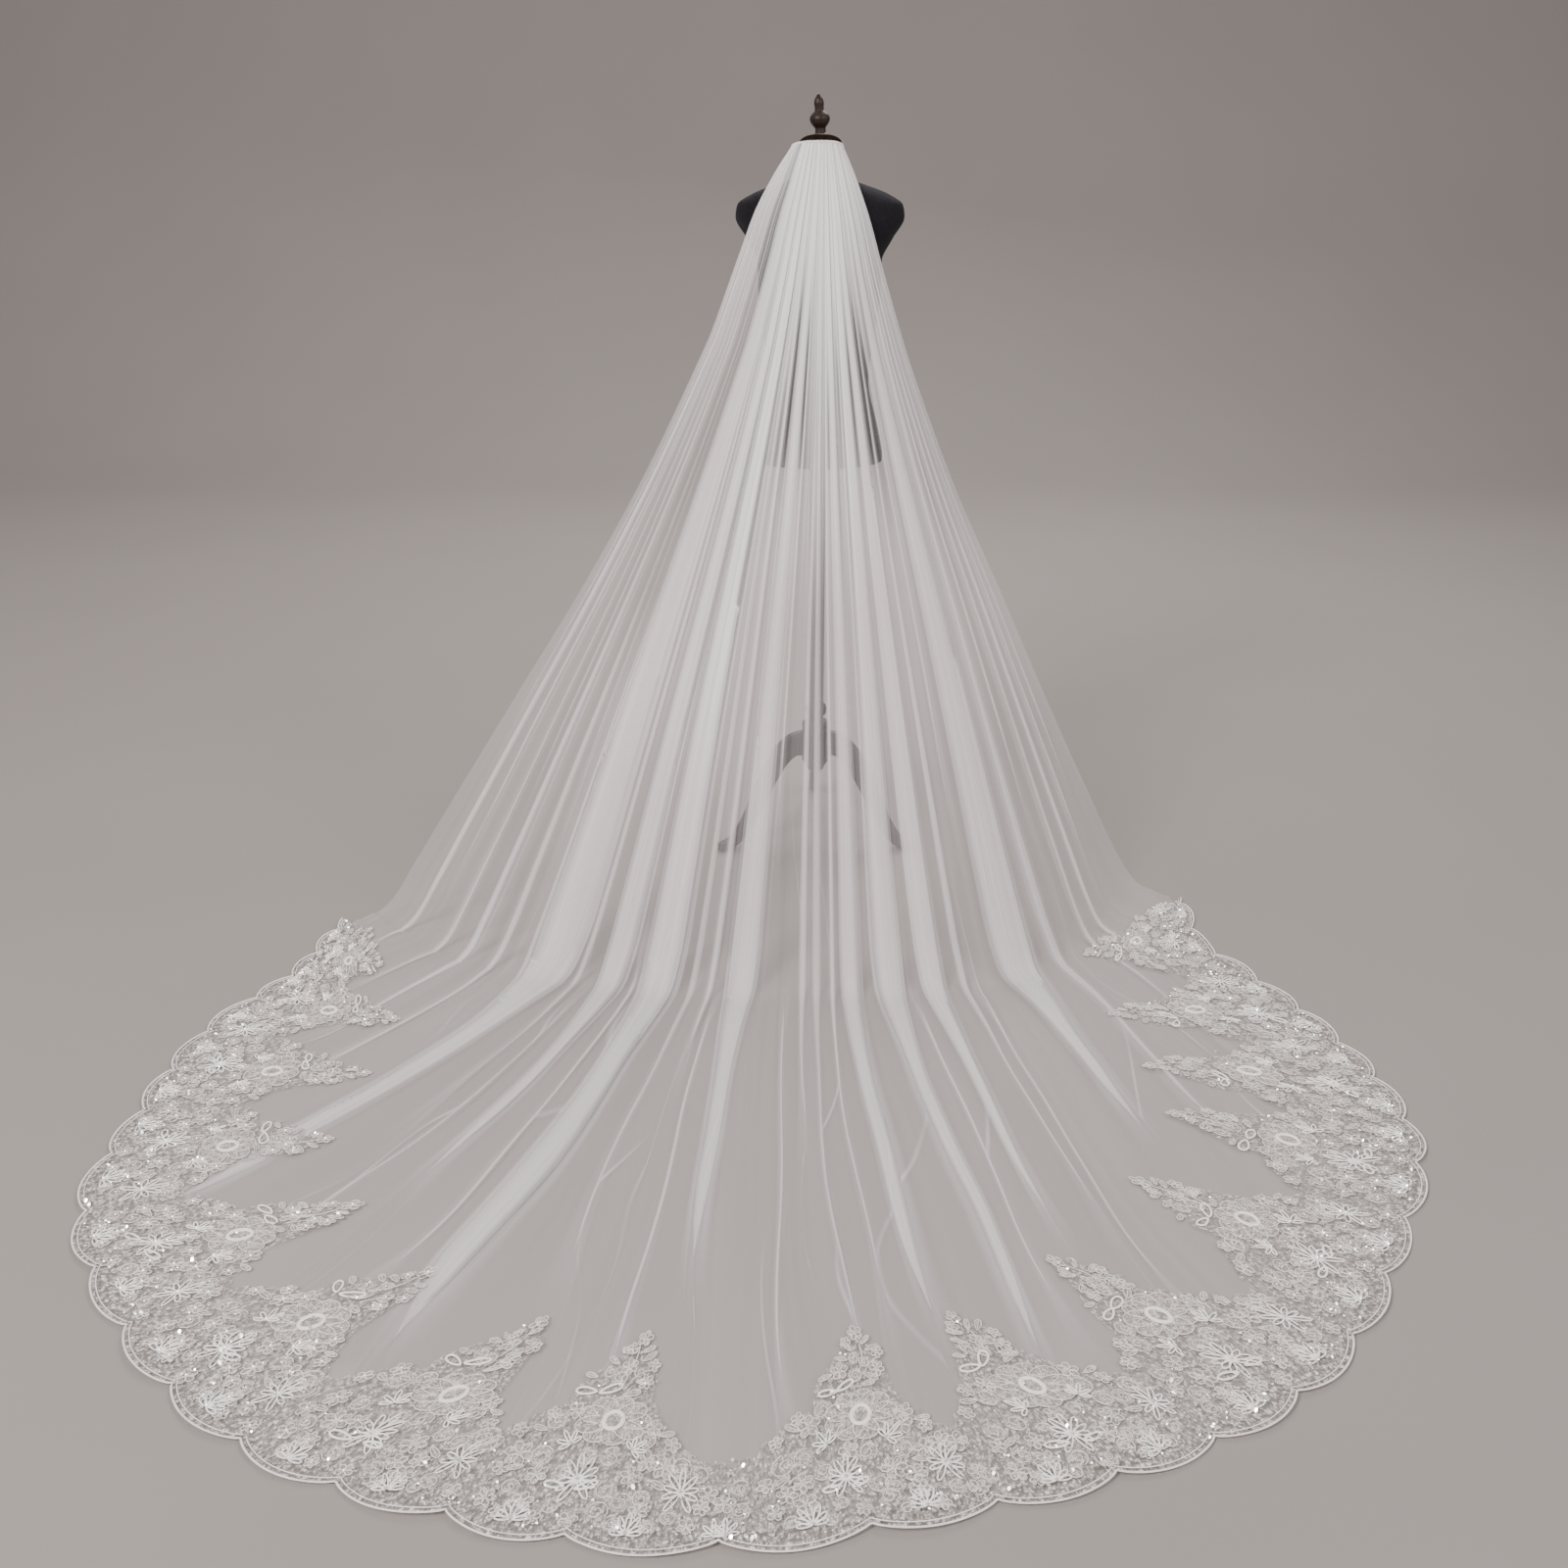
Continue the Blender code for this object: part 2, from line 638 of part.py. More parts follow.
def lace_point(along, depth):
    """Return the floor point at this many motifs along and this depth in."""
    angles, lengths = lace_angles()
    places = (0.0, *(motif + 0.5 for motif in range(LACE_MOTIFS)), LACE_MOTIFS)
    marks = (0.0, *LACE_CENTRES, lengths[-1])
    angle = np.interp(np.interp(along, places, marks), lengths, angles)
    return hem_point(angle, depth)


def end_taper(along):
    """Return how deep the border is here, as a share: less at its two ends."""
    from_end = np.minimum(along, LACE_MOTIFS - along)
    return LACE_END_TAPER + (1 - LACE_END_TAPER) * ease(0.0, 1.2, from_end)


def section_outline(first, last):
    """Return the outline of the border between two motifs."""
    gap = 0.5 * SEAM_GAP / (lace_angles()[1][-1] / LACE_MOTIFS)
    start = first + (gap if first > 0 else 0.0)
    stop = last - (gap if last < LACE_MOTIFS else 0.0)
    count = (last - first) * SCALLOPS * SCALLOP_STEPS
    along = first + np.arange(count + 1) / (SCALLOPS * SCALLOP_STEPS)
    wave = np.abs(np.sin(np.pi * SCALLOPS * along)) ** 0.7
    hem = lace_point(np.clip(along, start, stop), SCALLOP_RISE * (0.4 - wave))
    inner_along = []
    inner_depth = []
    for motif in range(last - 1, first - 1, -1):
        right = [(motif + 0.5 + row.off, row.depth) for row in SPRAY_EDGE]
        left = [(motif + 0.5 - row.off, row.depth) for row in SPRAY_EDGE[-2::-1]]
        points = right + left
        if motif > first:
            points = points[:-1]
        inner_along += [p[0] for p in points]
        inner_depth += [p[1] for p in points]
    inner_along = np.clip(np.array(inner_along), start, stop)
    inner_depth = np.array(inner_depth) * end_taper(inner_along)
    inner = lace_point(inner_along, inner_depth)
    return np.concatenate((hem, inner))


def motif_gap(motif, gap):
    """Return the outline of one opening in one motif."""
    turn = 2 * np.pi * np.arange(GAP_SIDES) / GAP_SIDES
    pitch = lace_angles()[1][-1] / LACE_MOTIFS
    along = motif + 0.5 + gap.off + gap.wide * np.cos(turn) / pitch
    depth = gap.depth * end_taper(motif + 0.5 + gap.off) + gap.deep * np.sin(turn)
    return lace_point(along, depth)


def add_lace(material):
    """Lay the lace border on the net, in sections, each a cut-out plate."""
    bottom = NET_WALL + SEAM_GAP
    for number, (first, last) in enumerate(zip(LACE_SECTIONS, LACE_SECTIONS[1:]), start=1):
        outlines = [section_outline(first, last)]
        outlines += [motif_gap(m, gap) for m in range(first, last) for gap in LACE_GAPS]
        body = flat_body(f"lace_border_{number}", outlines, LACE_WALL, material)
        body.location.z = bottom + LACE_WALL / 2


# ------------------------------------------------------------- form and stand


def add_torso(material):
    """Loft the torso and neck through rings of unlike width and depth."""
    heights = column(TORSO, "height")
    levels = np.linspace(0, len(TORSO) - 1, TORSO_RINGS)
    z = np.interp(levels, range(len(TORSO)), heights)
    turn = 2 * np.pi * np.arange(TORSO_SIDES) / TORSO_SIDES
    width = through(heights, column(TORSO, "half_width"), z)[:, None]
    back = through(heights, column(TORSO, "back"), z)[:, None]
    front = through(heights, column(TORSO, "front"), z)[:, None]
    x = width * np.cos(turn)
    y = np.where(np.sin(turn) < 0, back, front) * np.sin(turn)
    points = np.stack((x, y, np.broadcast_to(z[:, None], x.shape)), axis=-1)
    faces = []
    for ring in range(TORSO_RINGS - 1):
        for k in range(TORSO_SIDES):
            a = ring * TORSO_SIDES + k
            b = ring * TORSO_SIDES + (k + 1) % TORSO_SIDES
            faces.append((a, b, b + TORSO_SIDES, a + TORSO_SIDES))
    faces.append(tuple(range(TORSO_SIDES - 1, -1, -1)))
    faces.append(tuple(range((TORSO_RINGS - 1) * TORSO_SIDES, TORSO_RINGS * TORSO_SIDES)))
    body = new_mesh_object("form_torso", points.reshape(-1, 3), faces, material)
    body.data.set_sharp_from_angle(angle=math.radians(50))


def leg_outline():
    """Return a leg's side view: a tapering S from the hub to a flat foot."""
    t = np.linspace(0.0, 1.0, LEG_STEPS + 1)[:, None]
    root, knee, ankle, toe = (np.array(p) for p in (LEG_ROOT, LEG_KNEE, LEG_ANKLE, LEG_TOE))
    centre = (
        (1 - t) ** 3 * root
        + 3 * t * (1 - t) ** 2 * knee
        + 3 * t**2 * (1 - t) * ankle
        + t**3 * toe
    )
    along = 3 * ((1 - t) ** 2 * (knee - root) + 2 * t * (1 - t) * (ankle - knee) + t**2 * (toe - ankle))
    along = unit(along)
    half = LEG_ROOT_HALF + (LEG_TOE_HALF - LEG_ROOT_HALF) * t
    side = np.stack((-along[:, 1], along[:, 0]), axis=-1) * half
    upper = centre + side
    lower = centre - side
    upper[0] = (LEG_ROOT[0], LEG_ROOT[1] + LEG_ROOT_HALF)
    lower[0] = (LEG_ROOT[0], LEG_ROOT[1] - LEG_ROOT_HALF)
    upper, lower = upper[:-1], lower[:-1]
    foot = [
        (LEG_TOE[0] + 0.6 * FOOT_LENGTH, 0.8 * LEG_TOE_HALF),
        (LEG_TOE[0] + 0.6 * FOOT_LENGTH, 0.0),
        (LEG_TOE[0] - 0.4 * FOOT_LENGTH, 0.0),
    ]
    return np.concatenate((upper, np.array(foot), lower[::-1]))


def add_stand(wood):
    """Add the pole, the hub and the three legs."""
    turned_body("stand_pole", POLE_PROFILE, wood)
    turned_body("stand_hub", HUB_PROFILE, wood)
    for number, angle in enumerate(LEG_ANGLES, start=1):
        leg = flat_body(f"stand_leg_{number}", [leg_outline()], LEG_THICKNESS, wood)
        leg.rotation_euler = (math.pi / 2, 0.0, math.radians(angle))


def add_form(cloth, wood):
    """Add the torso with its wooden neck cap and leaning finial."""
    add_torso(cloth)
    turned_body("form_neck_cap", CAP_PROFILE, wood, lift=CAP_BOTTOM)
    finial = turned_body("form_finial", FINIAL_PROFILE, wood)
    finial.location.z = FINIAL_BOTTOM
    finial.rotation_euler.y = FINIAL_LEAN


# ----------------------------------------------------------------------- build


def clear_scene():
    """Remove what the scene already holds."""
    for old in list(bpy.data.objects):
        bpy.data.objects.remove(old, do_unlink=True)


def main():
    """Build every piece of the veil, its form and its stand."""
    net = make_material("tulle", (0.86, 0.84, 0.85), 0.75)
    lace = make_material("corded lace", (0.80, 0.77, 0.73), 0.60)
    metal = make_material("silver comb", (0.75, 0.75, 0.76), 0.30, metallic=1.0)
    cloth = make_material("black form cloth", (0.010, 0.009, 0.012), 0.85)
    wood = make_material("dark turned wood", (0.035, 0.018, 0.012), 0.40)
    add_comb(metal)
    add_net(net)
    add_lace(lace)
    add_form(cloth, wood)
    add_stand(wood)


clear_scene()
PART = bpy.data.collections.new("bridal_veil")
bpy.context.scene.collection.children.link(PART)
PLACE = bpy.data.objects.new("veil_place", None)
PLACE.location = (FORM_X, FORM_Y, 0.0)
PART.objects.link(PLACE)
main()
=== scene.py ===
"""Looks of a cathedral bridal veil, gathered on a comb, on a black dress form.

Places are in metres with +Z up.  The cloth is worked out from the form's own
axis and then moved to the middle of the footprint.  A place on the net has two
coordinates: "across" runs from 0 at the left side edge to 1 at the right one,
and "down" is 0 at the comb, 1 where the net lands on the floor and 2 at the hem.
A place on the lace has a length along the hem and a depth in from it.
"""

import logging
import math
from dataclasses import dataclass
from enum import Enum
from typing import NamedTuple, Sequence

import bmesh
import bpy
import numpy as np
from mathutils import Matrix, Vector
from numpy.typing import NDArray


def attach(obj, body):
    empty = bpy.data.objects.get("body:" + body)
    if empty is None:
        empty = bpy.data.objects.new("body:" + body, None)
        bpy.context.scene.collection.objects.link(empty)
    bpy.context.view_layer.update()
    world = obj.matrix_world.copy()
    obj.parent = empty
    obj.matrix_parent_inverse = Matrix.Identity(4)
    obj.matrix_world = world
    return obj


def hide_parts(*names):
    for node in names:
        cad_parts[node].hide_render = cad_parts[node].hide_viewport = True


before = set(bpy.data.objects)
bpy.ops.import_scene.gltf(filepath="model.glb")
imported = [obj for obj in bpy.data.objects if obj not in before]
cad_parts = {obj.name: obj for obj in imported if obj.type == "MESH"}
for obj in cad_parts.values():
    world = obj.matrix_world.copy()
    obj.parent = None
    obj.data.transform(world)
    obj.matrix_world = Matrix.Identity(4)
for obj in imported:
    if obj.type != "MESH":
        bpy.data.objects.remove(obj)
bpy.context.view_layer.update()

Array = NDArray[np.float64]
Ints = NDArray[np.int64]
Surface = tuple[Array, Array, list[Ints]]  # points, flat coordinates and blocks of faces
Pair = tuple[float, float]
Triple = tuple[float, float, float]
Colour = Triple
Material = bpy.types.Material
Piece = bpy.types.Object
Socket = bpy.types.NodeSocket

LOG = logging.getLogger("veil")
BODY = "root"
FORM_AXIS = np.array((0.1074, 0.9802, 0.0))
BACKWARDS = np.array((0.0, -1.0))
SEED = 11
NUDGE = 1e-4  # step over which a slope of the drape is measured
WELD = 1e-5  # vertices closer than this are joined
SHORTEST = 1e-12  # length below which a vector has no direction


# ---- small maths


def through(xs: Sequence[float], ys: Sequence[float], x: Array) -> Array:
    """Read a smooth curve through points, never past its neighbours.

    Each stretch is a cubic whose end slopes are the harmonic mean of the
    slopes on either side, or level where the slope changes its sign.

    Args:
        xs: Rising places of the points.
        ys: Their values.
        x: Places to read; those past the ends take the end values.

    Returns:
        One value for each place.
    """
    knots, values = np.asarray(xs, float), np.asarray(ys, float)
    x = np.clip(x, knots[0], knots[-1])
    step = np.diff(knots)
    slope = np.diff(values) / step
    before, after = slope[:-1], slope[1:]
    same_way = before * after > 0
    total = np.where(same_way, before + after, 1.0)
    middle = np.where(same_way, 2.0 * before * after / total, 0.0)
    tangent = np.concatenate(((slope[0],), middle, (slope[-1],)))
    k = np.clip(np.searchsorted(knots, x, side="right") - 1, 0, len(step) - 1)
    slopes = step[k] * tangent[k], step[k] * tangent[k + 1]
    return cubic(values[k], values[k + 1], *slopes, (x - knots[k]) / step[k])


def cubic(start: Array, end: Array, leaving: Array, arriving: Array, t: Array) -> Array:
    """Return the cubic from start to end with these slopes there, for t from 0 to 1."""
    first = (2 * t**3 - 3 * t**2 + 1) * start + (t**3 - 2 * t**2 + t) * leaving
    return first + (3 * t**2 - 2 * t**3) * end + (t**3 - t**2) * arriving


def ease(low: float, high: float, x: Array) -> Array:
    """Return 0 below low, 1 above high and a soft ramp between."""
    t = np.clip((x - low) / (high - low), 0, 1)
    return t * t * (3 - 2 * t)


def unit(vectors: Array) -> Array:
    """Return the vectors at length 1, and those of no length as they are."""
    return vectors / np.maximum(np.linalg.norm(vectors, axis=-1, keepdims=True), SHORTEST)


def stacked(*parts: Array | float) -> Array:
    """Return coordinates put together on a last axis."""
    return np.stack(np.broadcast_arrays(*parts), axis=-1)


def around(turn: Array | float) -> Array:
    """Return unit vectors in the plan at these angles, in radians."""
    return stacked(np.cos(turn), np.sin(turn))


def circle(count: int) -> Array:
    """Return this many angles of a full turn, in radians."""
    return np.linspace(0.0, 2 * np.pi, count, endpoint=False)


def column(rows: Sequence[NamedTuple], name: str) -> list[float]:
    """Return one named column of a table."""
    return [getattr(row, name) for row in rows]


def table(kind: type, *rows: tuple) -> tuple:
    """Return these rows, each with the names of one kind of row."""
    return tuple(kind(*row) for row in rows)


def read(rows: Sequence[NamedTuple], name: str, x: Array) -> Array:
    """Return a smooth reading of one named column over the first column."""
    return through([row[0] for row in rows], column(rows, name), x)


class Wave(NamedTuple):
    """A sine over two coordinates: its turns over each, its start and its size."""

    first: float
    second: float
    start: float
    size: float


def ripples(waves: Sequence[Wave], x: Array, y: Array) -> Array:
    """Return crossed sine waves, raised so that none goes below 0."""
    whole = sum(wave.size * np.sin(wave.first * x + wave.second * y + wave.start) for wave in waves)
    return whole + sum(column(waves, "size"))


# ---- making meshes


def grid_faces(rows: int, cols: int, closed: bool = False) -> Ints:
    """Number the quads of a grid that is counted row by row.

    Corners run down the rows and then across, so a grid whose "down" crossed
    with "across" points outwards has outward faces.

    Args:
        rows: Number of rows.
        cols: Number of columns.
        closed: Whether the last column joins the first.

    Returns:
        Corner numbers, four for each face.
    """
    across = np.arange(cols if closed else cols - 1)
    right = (across + 1) % cols
    down = np.arange(rows - 1)[:, None] * cols
    return stacked(down + across, down + cols + across, down + cols + right, down + right).reshape(-1, 4)


def joined(parts: Sequence[tuple]) -> tuple:
    """Put parts together, so that their faces count all the points.

    Args:
        parts: Arrays with a row for each point, and last the blocks of faces.

    Returns:
        The same of the whole.
    """
    *arrays, faces = zip(*parts)
    starts = np.cumsum([0] + [len(points) for points in arrays[0]])
    moved = [block + start for blocks, start in zip(faces, starts) for block in blocks]
    return (*map(np.concatenate, arrays), moved)


def new_piece(
    name: str,
    points: Array,
    faces: Sequence[Ints],
    finishes: Sequence[Material],
    uv: Array | None = None,
    values: dict[str, Array] | None = None,
    slots: Ints | None = None,
    sharp: float | None = None,
    weld: bool = False,
) -> Piece:
    """Make one mesh object whose place is in its mesh.

    Args:
        name: Name of the object.
        points: Places of the vertices, from the form's axis, in any grid.
        faces: Blocks of corner numbers, each with its own number of corners.
        finishes: Materials, in slot order.
        uv: Flat cloth coordinates of each vertex, in metres.
        values: Named numbers for each vertex.
        slots: Material slot of each face.
        sharp: Angle in degrees above which an edge stays sharp.
        weld: Whether vertices in one place are joined.

    Returns:
        The new object.
    """
    points = points.reshape(-1, 3)
    mesh = bpy.data.meshes.new(name)
    corners = np.concatenate([block.ravel() for block in faces])
    totals = np.concatenate([np.full(len(block), block.shape[1]) for block in faces])
    starts = np.cumsum(totals) - totals
    mesh.vertices.add(len(points))
    mesh.vertices.foreach_set("co", (points + FORM_AXIS).ravel())
    mesh.loops.add(len(corners))
    mesh.loops.foreach_set("vertex_index", corners)
    mesh.polygons.add(len(totals))
    mesh.polygons.foreach_set("loop_start", starts)
    for finish in finishes:
        mesh.materials.append(finish)
    if slots is not None:
        mesh.polygons.foreach_set("material_index", slots)
    if uv is not None:
        flat = uv.reshape(-1, 2)[corners]
        mesh.uv_layers.new(name="cloth").uv.foreach_set("vector", flat.ravel())
    for label, numbers in (values or {}).items():
        layer = mesh.attributes.new(label, "FLOAT", "POINT")
        layer.data.foreach_set("value", np.ascontiguousarray(numbers, dtype=np.float32).ravel())
    mesh.update(calc_edges=True)
    if weld:
        editing = bmesh.new()
        editing.from_mesh(mesh)
        bmesh.ops.remove_doubles(editing, verts=editing.verts, dist=WELD)
        editing.to_mesh(mesh)
        editing.free()
    mesh.shade_smooth()
    if sharp is not None:
        mesh.set_sharp_from_angle(angle=math.radians(sharp))
    piece = bpy.data.objects.new(name, mesh)
    bpy.context.scene.collection.objects.link(piece)
    return piece


def settle(piece: Piece, slot: str, *nodes: str) -> None:
    """Let a piece ride on the part and stand for CAD nodes.

    Args:
        piece: The piece.
        slot: Not used.
        *nodes: CAD nodes that it is shown instead of.
    """
    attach(piece, BODY)
    if nodes:
        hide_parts(*nodes)
    LOG.info("%s: %d faces", piece.name, len(piece.data.polygons))


# ---- finishes


class Span(NamedTuple):
    """A range of values, and the range that it is mapped to."""

    low: float
    high: float
    to_low: float
    to_high: float


class Noise(NamedTuple):
    """A noise: its size, how many finer layers it has and how strong they are."""

    scale: float = 1.0
    detail: float = 2.0
    roughness: float = 0.5


class Graph:
    """A material's node tree, built from plain calls."""

    def __init__(self, name: str) -> None:
        """Start a material whose Principled shader is ready.

        Args:
            name: Name of the material.
        """
        self.material = bpy.data.materials.new(name)
        self.material.use_nodes = True
        self.tree = self.material.node_tree
        self.shader = self.tree.nodes["Principled BSDF"]

    def feed(self, node: bpy.types.Node, label: str | int, value: object) -> None:
        """Set or link one input of a node.

        Args:
            node: The node.
            label: Name or number of the input.
            value: An output socket to link, or a value to set.
        """
        socket = node.inputs[label]
        if isinstance(value, Socket):
            self.tree.links.new(value, socket)
        else:
            socket.default_value = value

    def node(self, kind: str, *values: object, **settings: object) -> bpy.types.Node:
        """Add a node.

        Args:
            kind: Blender's name of the node type.
            *values: Its first inputs in order, each a socket or a number.
            **settings: Its properties, and other inputs by name.

        Returns:
            The new node.
        """
        made = self.tree.nodes.new(kind)
        for place, value in enumerate(values):
            self.feed(made, place, value)
        for label, value in settings.items():
            if label in made.inputs:
                self.feed(made, label, value)
            else:
                setattr(made, label, value)
        return made

    def maths(self, kind: str, first: object, second: object = 0.0) -> Socket:
        """Return what a sum of this kind makes of one or two values."""
        return self.node("ShaderNodeMath", first, second, operation=kind).outputs[0]

    def plus(self, first: object, second: object) -> Socket:
        """Return the sum of two values."""
        return self.maths("ADD", first, second)

    def times(self, first: object, second: object) -> Socket:
        """Return the product of two values."""
        return self.maths("MULTIPLY", first, second)

    def span(self, value: object, span: Span) -> Socket:
        """Return a value mapped from one range to another."""
        return self.node("ShaderNodeMapRange", value, *span).outputs[0]

    def swing(self, noise: Socket, low: float, high: float) -> Socket:
        """Return a noise whose usual range is mapped from low to high."""
        return self.span(noise, Span(0.3, 0.7, low, high))

    def held(self, value: Socket, low: float, high: float) -> Socket:
        """Return a value that is kept between low and high."""
        return self.node("ShaderNodeClamp", value, low, high).outputs[0]

    def scaled(self, source: str, scale: Triple = (1.0, 1.0, 1.0)) -> Socket:
        """Return "UV" or "Object" coordinates, scaled on each axis."""
        place = self.node("ShaderNodeTexCoord").outputs[source]
        return self.node("ShaderNodeMapping", Vector=place, Scale=scale).outputs[0]

    def noise(self, vector: Socket, noise: Noise) -> Socket:
        """Return a noise about a half."""
        kind, (scale, detail, rough) = "ShaderNodeTexNoise", noise
        return self.node(kind, Vector=vector, Scale=scale, Detail=detail, Roughness=rough).outputs[0]

    def cells(self, vector: Socket, scale: float) -> Socket:
        """Return the distance to the edge in a pattern of cells."""
        kind, way = "ShaderNodeTexVoronoi", "DISTANCE_TO_EDGE"
        return self.node(kind, feature=way, Vector=vector, Scale=scale).outputs["Distance"]

    def ramp(self, value: Socket, *stops: tuple[float, Colour]) -> Socket:
        """Turn a value into a colour.

        Args:
            value: The value.
            *stops: Places and their colours, rising.

        Returns:
            The colour.
        """
        made = self.node("ShaderNodeValToRGB", value)
        ramp = made.color_ramp
        ramp.elements[0].position, ramp.elements[-1].position = stops[0][0], stops[-1][0]
        for place, colour in stops[1:-1]:
            ramp.elements.new(place)
        for element, (place, colour) in zip(ramp.elements, stops):
            element.color = (*colour, 1.0)
        return made.outputs[0]

    def bump(self, height: Socket, distance: float, strength: float) -> None:
        """Raise the surface by a height value: so many metres, this share of them."""
        made = self.node("ShaderNodeBump", Height=height, Distance=distance, Strength=strength)
        self.feed(self.shader, "Normal", made.outputs[0])

    def put(self, **inputs: object) -> None:
        """Set or link inputs of the shader, named with _ for each space."""
        for label, value in inputs.items():
            self.feed(self.shader, label.replace("_", " "), value)

    def value_of(self, attribute: str) -> Socket:
        """Return a named number of the mesh."""
        return self.node("ShaderNodeAttribute", attribute_name=attribute).outputs["Fac"]


@dataclass(frozen=True)
class NetFinish:
    """Soft nylon tulle: a hexagonal net, denser where it is bunched.

    Streaks are noises drawn out along the net.  Each has its scale across and
    along, its noise and how much cover it adds and takes.
    """

    white: Colour = (0.88, 0.815, 0.815)
    shade: Colour = (0.8, 0.72, 0.735)
    hole: float = 0.0024
    broad: tuple[Pair, Noise, float] = ((15.0, 0.22), Noise(), 0.7)
    middling: tuple[Pair, Noise, float] = ((46.0, 0.35), Noise(1.0, 3.0, 0.65), 0.5)
    fine: tuple[Pair, Noise, float] = ((190.0, 0.9), Noise(1.0, 2.0, 0.6), 0.4)
    threads: Span = Span(0.0, 0.5, 1.1, 0.92)
    alpha: Pair = (0.03, 0.985)
    creases: tuple[Pair, Pair] = ((5.3, 1.1), (8.9, 2.3))
    crease: float = 0.0021
    crease_cover: float = 0.26
    crease_gaps: Span = Span(0.46, 0.6, 0.0, 1.0)

    def build(self) -> Material:
        """Build the net.

        Its alpha is the mesh's cover, streaked along the net and stopped by
        its threads, and two sets of thin creases wander down it.

        Returns:
            The material.
        """
        g = Graph("tulle_net")
        rows = (self.broad, self.middling, self.fine)
        noises = [g.noise(g.scaled("UV", (*scale, 1.0)), noise) for scale, noise, _ in rows]
        broad, middling, fine = (g.swing(value, -row[2], row[2]) for value, row in zip(noises, rows))
        swing = g.times(g.plus(broad, g.plus(middling, fine)), g.value_of("streaks"))
        net = g.cells(g.scaled("UV"), 1.0 / self.hole)
        cover = g.times(g.value_of("cover"), g.plus(swing, 1.0))
        lines = g.times(g.plus(*(self.lines(g, *row) for row in self.creases)), g.value_of("creases"))
        alpha = g.plus(g.times(cover, g.span(net, self.threads)), lines)
        g.put(Alpha=g.held(alpha, *self.alpha))
        g.put(Base_Color=g.ramp(noises[1], (0.25, self.shade), (0.7, self.white)))
        g.put(Roughness=0.72, Specular_IOR_Level=0.3, Sheen_Weight=0.35, Sheen_Roughness=0.4)
        g.bump(net, 0.0003, 0.4)
        return g.material

    def lines(self, g: Graph, often: float, sway: float) -> Socket:
        """Work out the cover of thin creases down the net.

        They run where across * often + noise * sway passes through a half, and
        a second noise breaks them.

        Args:
            g: The material's graph.
            often: Creases in a metre of width.
            sway: How many spaces between creases they wander.

        Returns:
            The share of light that they stop.
        """
        across = g.node("ShaderNodeSeparateXYZ", g.scaled("UV")).outputs[0]
        wander = g.noise(g.scaled("UV", (0.07 * often, 0.9, 1.0)), Noise(detail=1.0))
        place = g.plus(g.times(across, often), g.times(wander, sway))
        beside = g.maths("ABSOLUTE", g.maths("SUBTRACT", g.maths("FRACT", place), 0.5))
        line = g.span(beside, Span(0.0, self.crease * often, self.crease_cover, 0.0))
        gaps = g.noise(g.scaled("UV", (often, 1.6, 1.0)), Noise(detail=1.0))
        return g.times(line, g.span(gaps, self.crease_gaps))


@dataclass(frozen=True)
class LaceFinish:
    """Embroidered ground: satin stitches over net with open places; its dark is painted shade."""

    name: str = "lace_ground"
    light: Colour = (0.8, 0.73, 0.68)
    # dark is painted shade: the shadow in the crevices and open places between the stitches
    dark: Colour = (0.17, 0.14, 0.125)
    leaf: float = 0.009
    stitch: float = 0.0038
    slant: float = 0.45
    mottle: Noise = Noise(95.0, 3.0, 0.6)
    filled: Span = Span(0.03, 0.2, 0.35, 1.05)
    # keeps the open places partly opaque, so that the painted shade shows there instead of the floor
    open_work: Span = Span(0.38, 0.58, 0.55, 1.15)
    alpha: Pair = (0.04, 0.97)

    def build(self) -> Material:
        """Build the ground; its alpha is the cover, opened between the stitches.

        Returns:
            The material.
        """
        g = Graph(self.name)
        flat = g.scaled("UV")
        leaves, mottle = g.cells(flat, 1.0 / self.leaf), g.noise(flat, self.mottle)
        dense = 1.0 / self.stitch
        stitch = g.noise(g.scaled("UV", (dense, self.slant * dense, 1.0)), Noise(1.0, 2.0, 0.6))
        opened = g.times(g.span(leaves, self.filled), g.span(mottle, self.open_work))
        g.put(Alpha=g.held(g.times(g.value_of("cover"), opened), *self.alpha))
        # painted shade: where the stitch and mottle noises are low the ground turns dark, as shadow
        # between stitches
        tone_and_painted_shade = g.plus(g.times(mottle, 0.45), g.times(stitch, 0.55))
        g.put(Base_Color=g.ramp(tone_and_painted_shade, (0.44, self.dark), (0.58, self.light)))
        g.put(Roughness=0.6, Sheen_Weight=0.3)
        g.bump(g.plus(g.times(stitch, 0.5), leaves), 0.0012, 0.8)
        return g.material


@dataclass(frozen=True)
class CordFinish:
    """Twisted ivory cord: slanting plies along its length."""

    name: str = "lace_cord"
    light: Colour = (0.97, 0.92, 0.87)
    dark: Colour = (0.78, 0.71, 0.66)
    ply: float = 0.0022
    deep: Colour = (0.46, 0.4, 0.37)
    tint: Noise = Noise(60.0)

    def build(self) -> Material:
        """Build the cord; its twist runs on the cord's own coordinates.

        The "dim" number of the mesh darkens the thin cords.

        Returns:
            The material.
        """
        g = Graph(self.name)
        twist = g.node("ShaderNodeTexWave", bands_direction="DIAGONAL", Vector=g.scaled("UV"),
                       Scale=0.5 / self.ply).outputs[1]
        tint = g.noise(g.scaled("Object"), self.tint)
        mixed = g.plus(g.times(twist, 0.35), g.times(tint, 0.65))
        mixed = g.maths("SUBTRACT", mixed, g.value_of("dim"))
        g.put(Base_Color=g.ramp(mixed, (0.0, self.deep), (0.25, self.dark), (0.6, self.light)))
        g.put(Roughness=0.42, Sheen_Weight=0.25)
        g.bump(twist, 0.0004, 0.6)
        return g.material


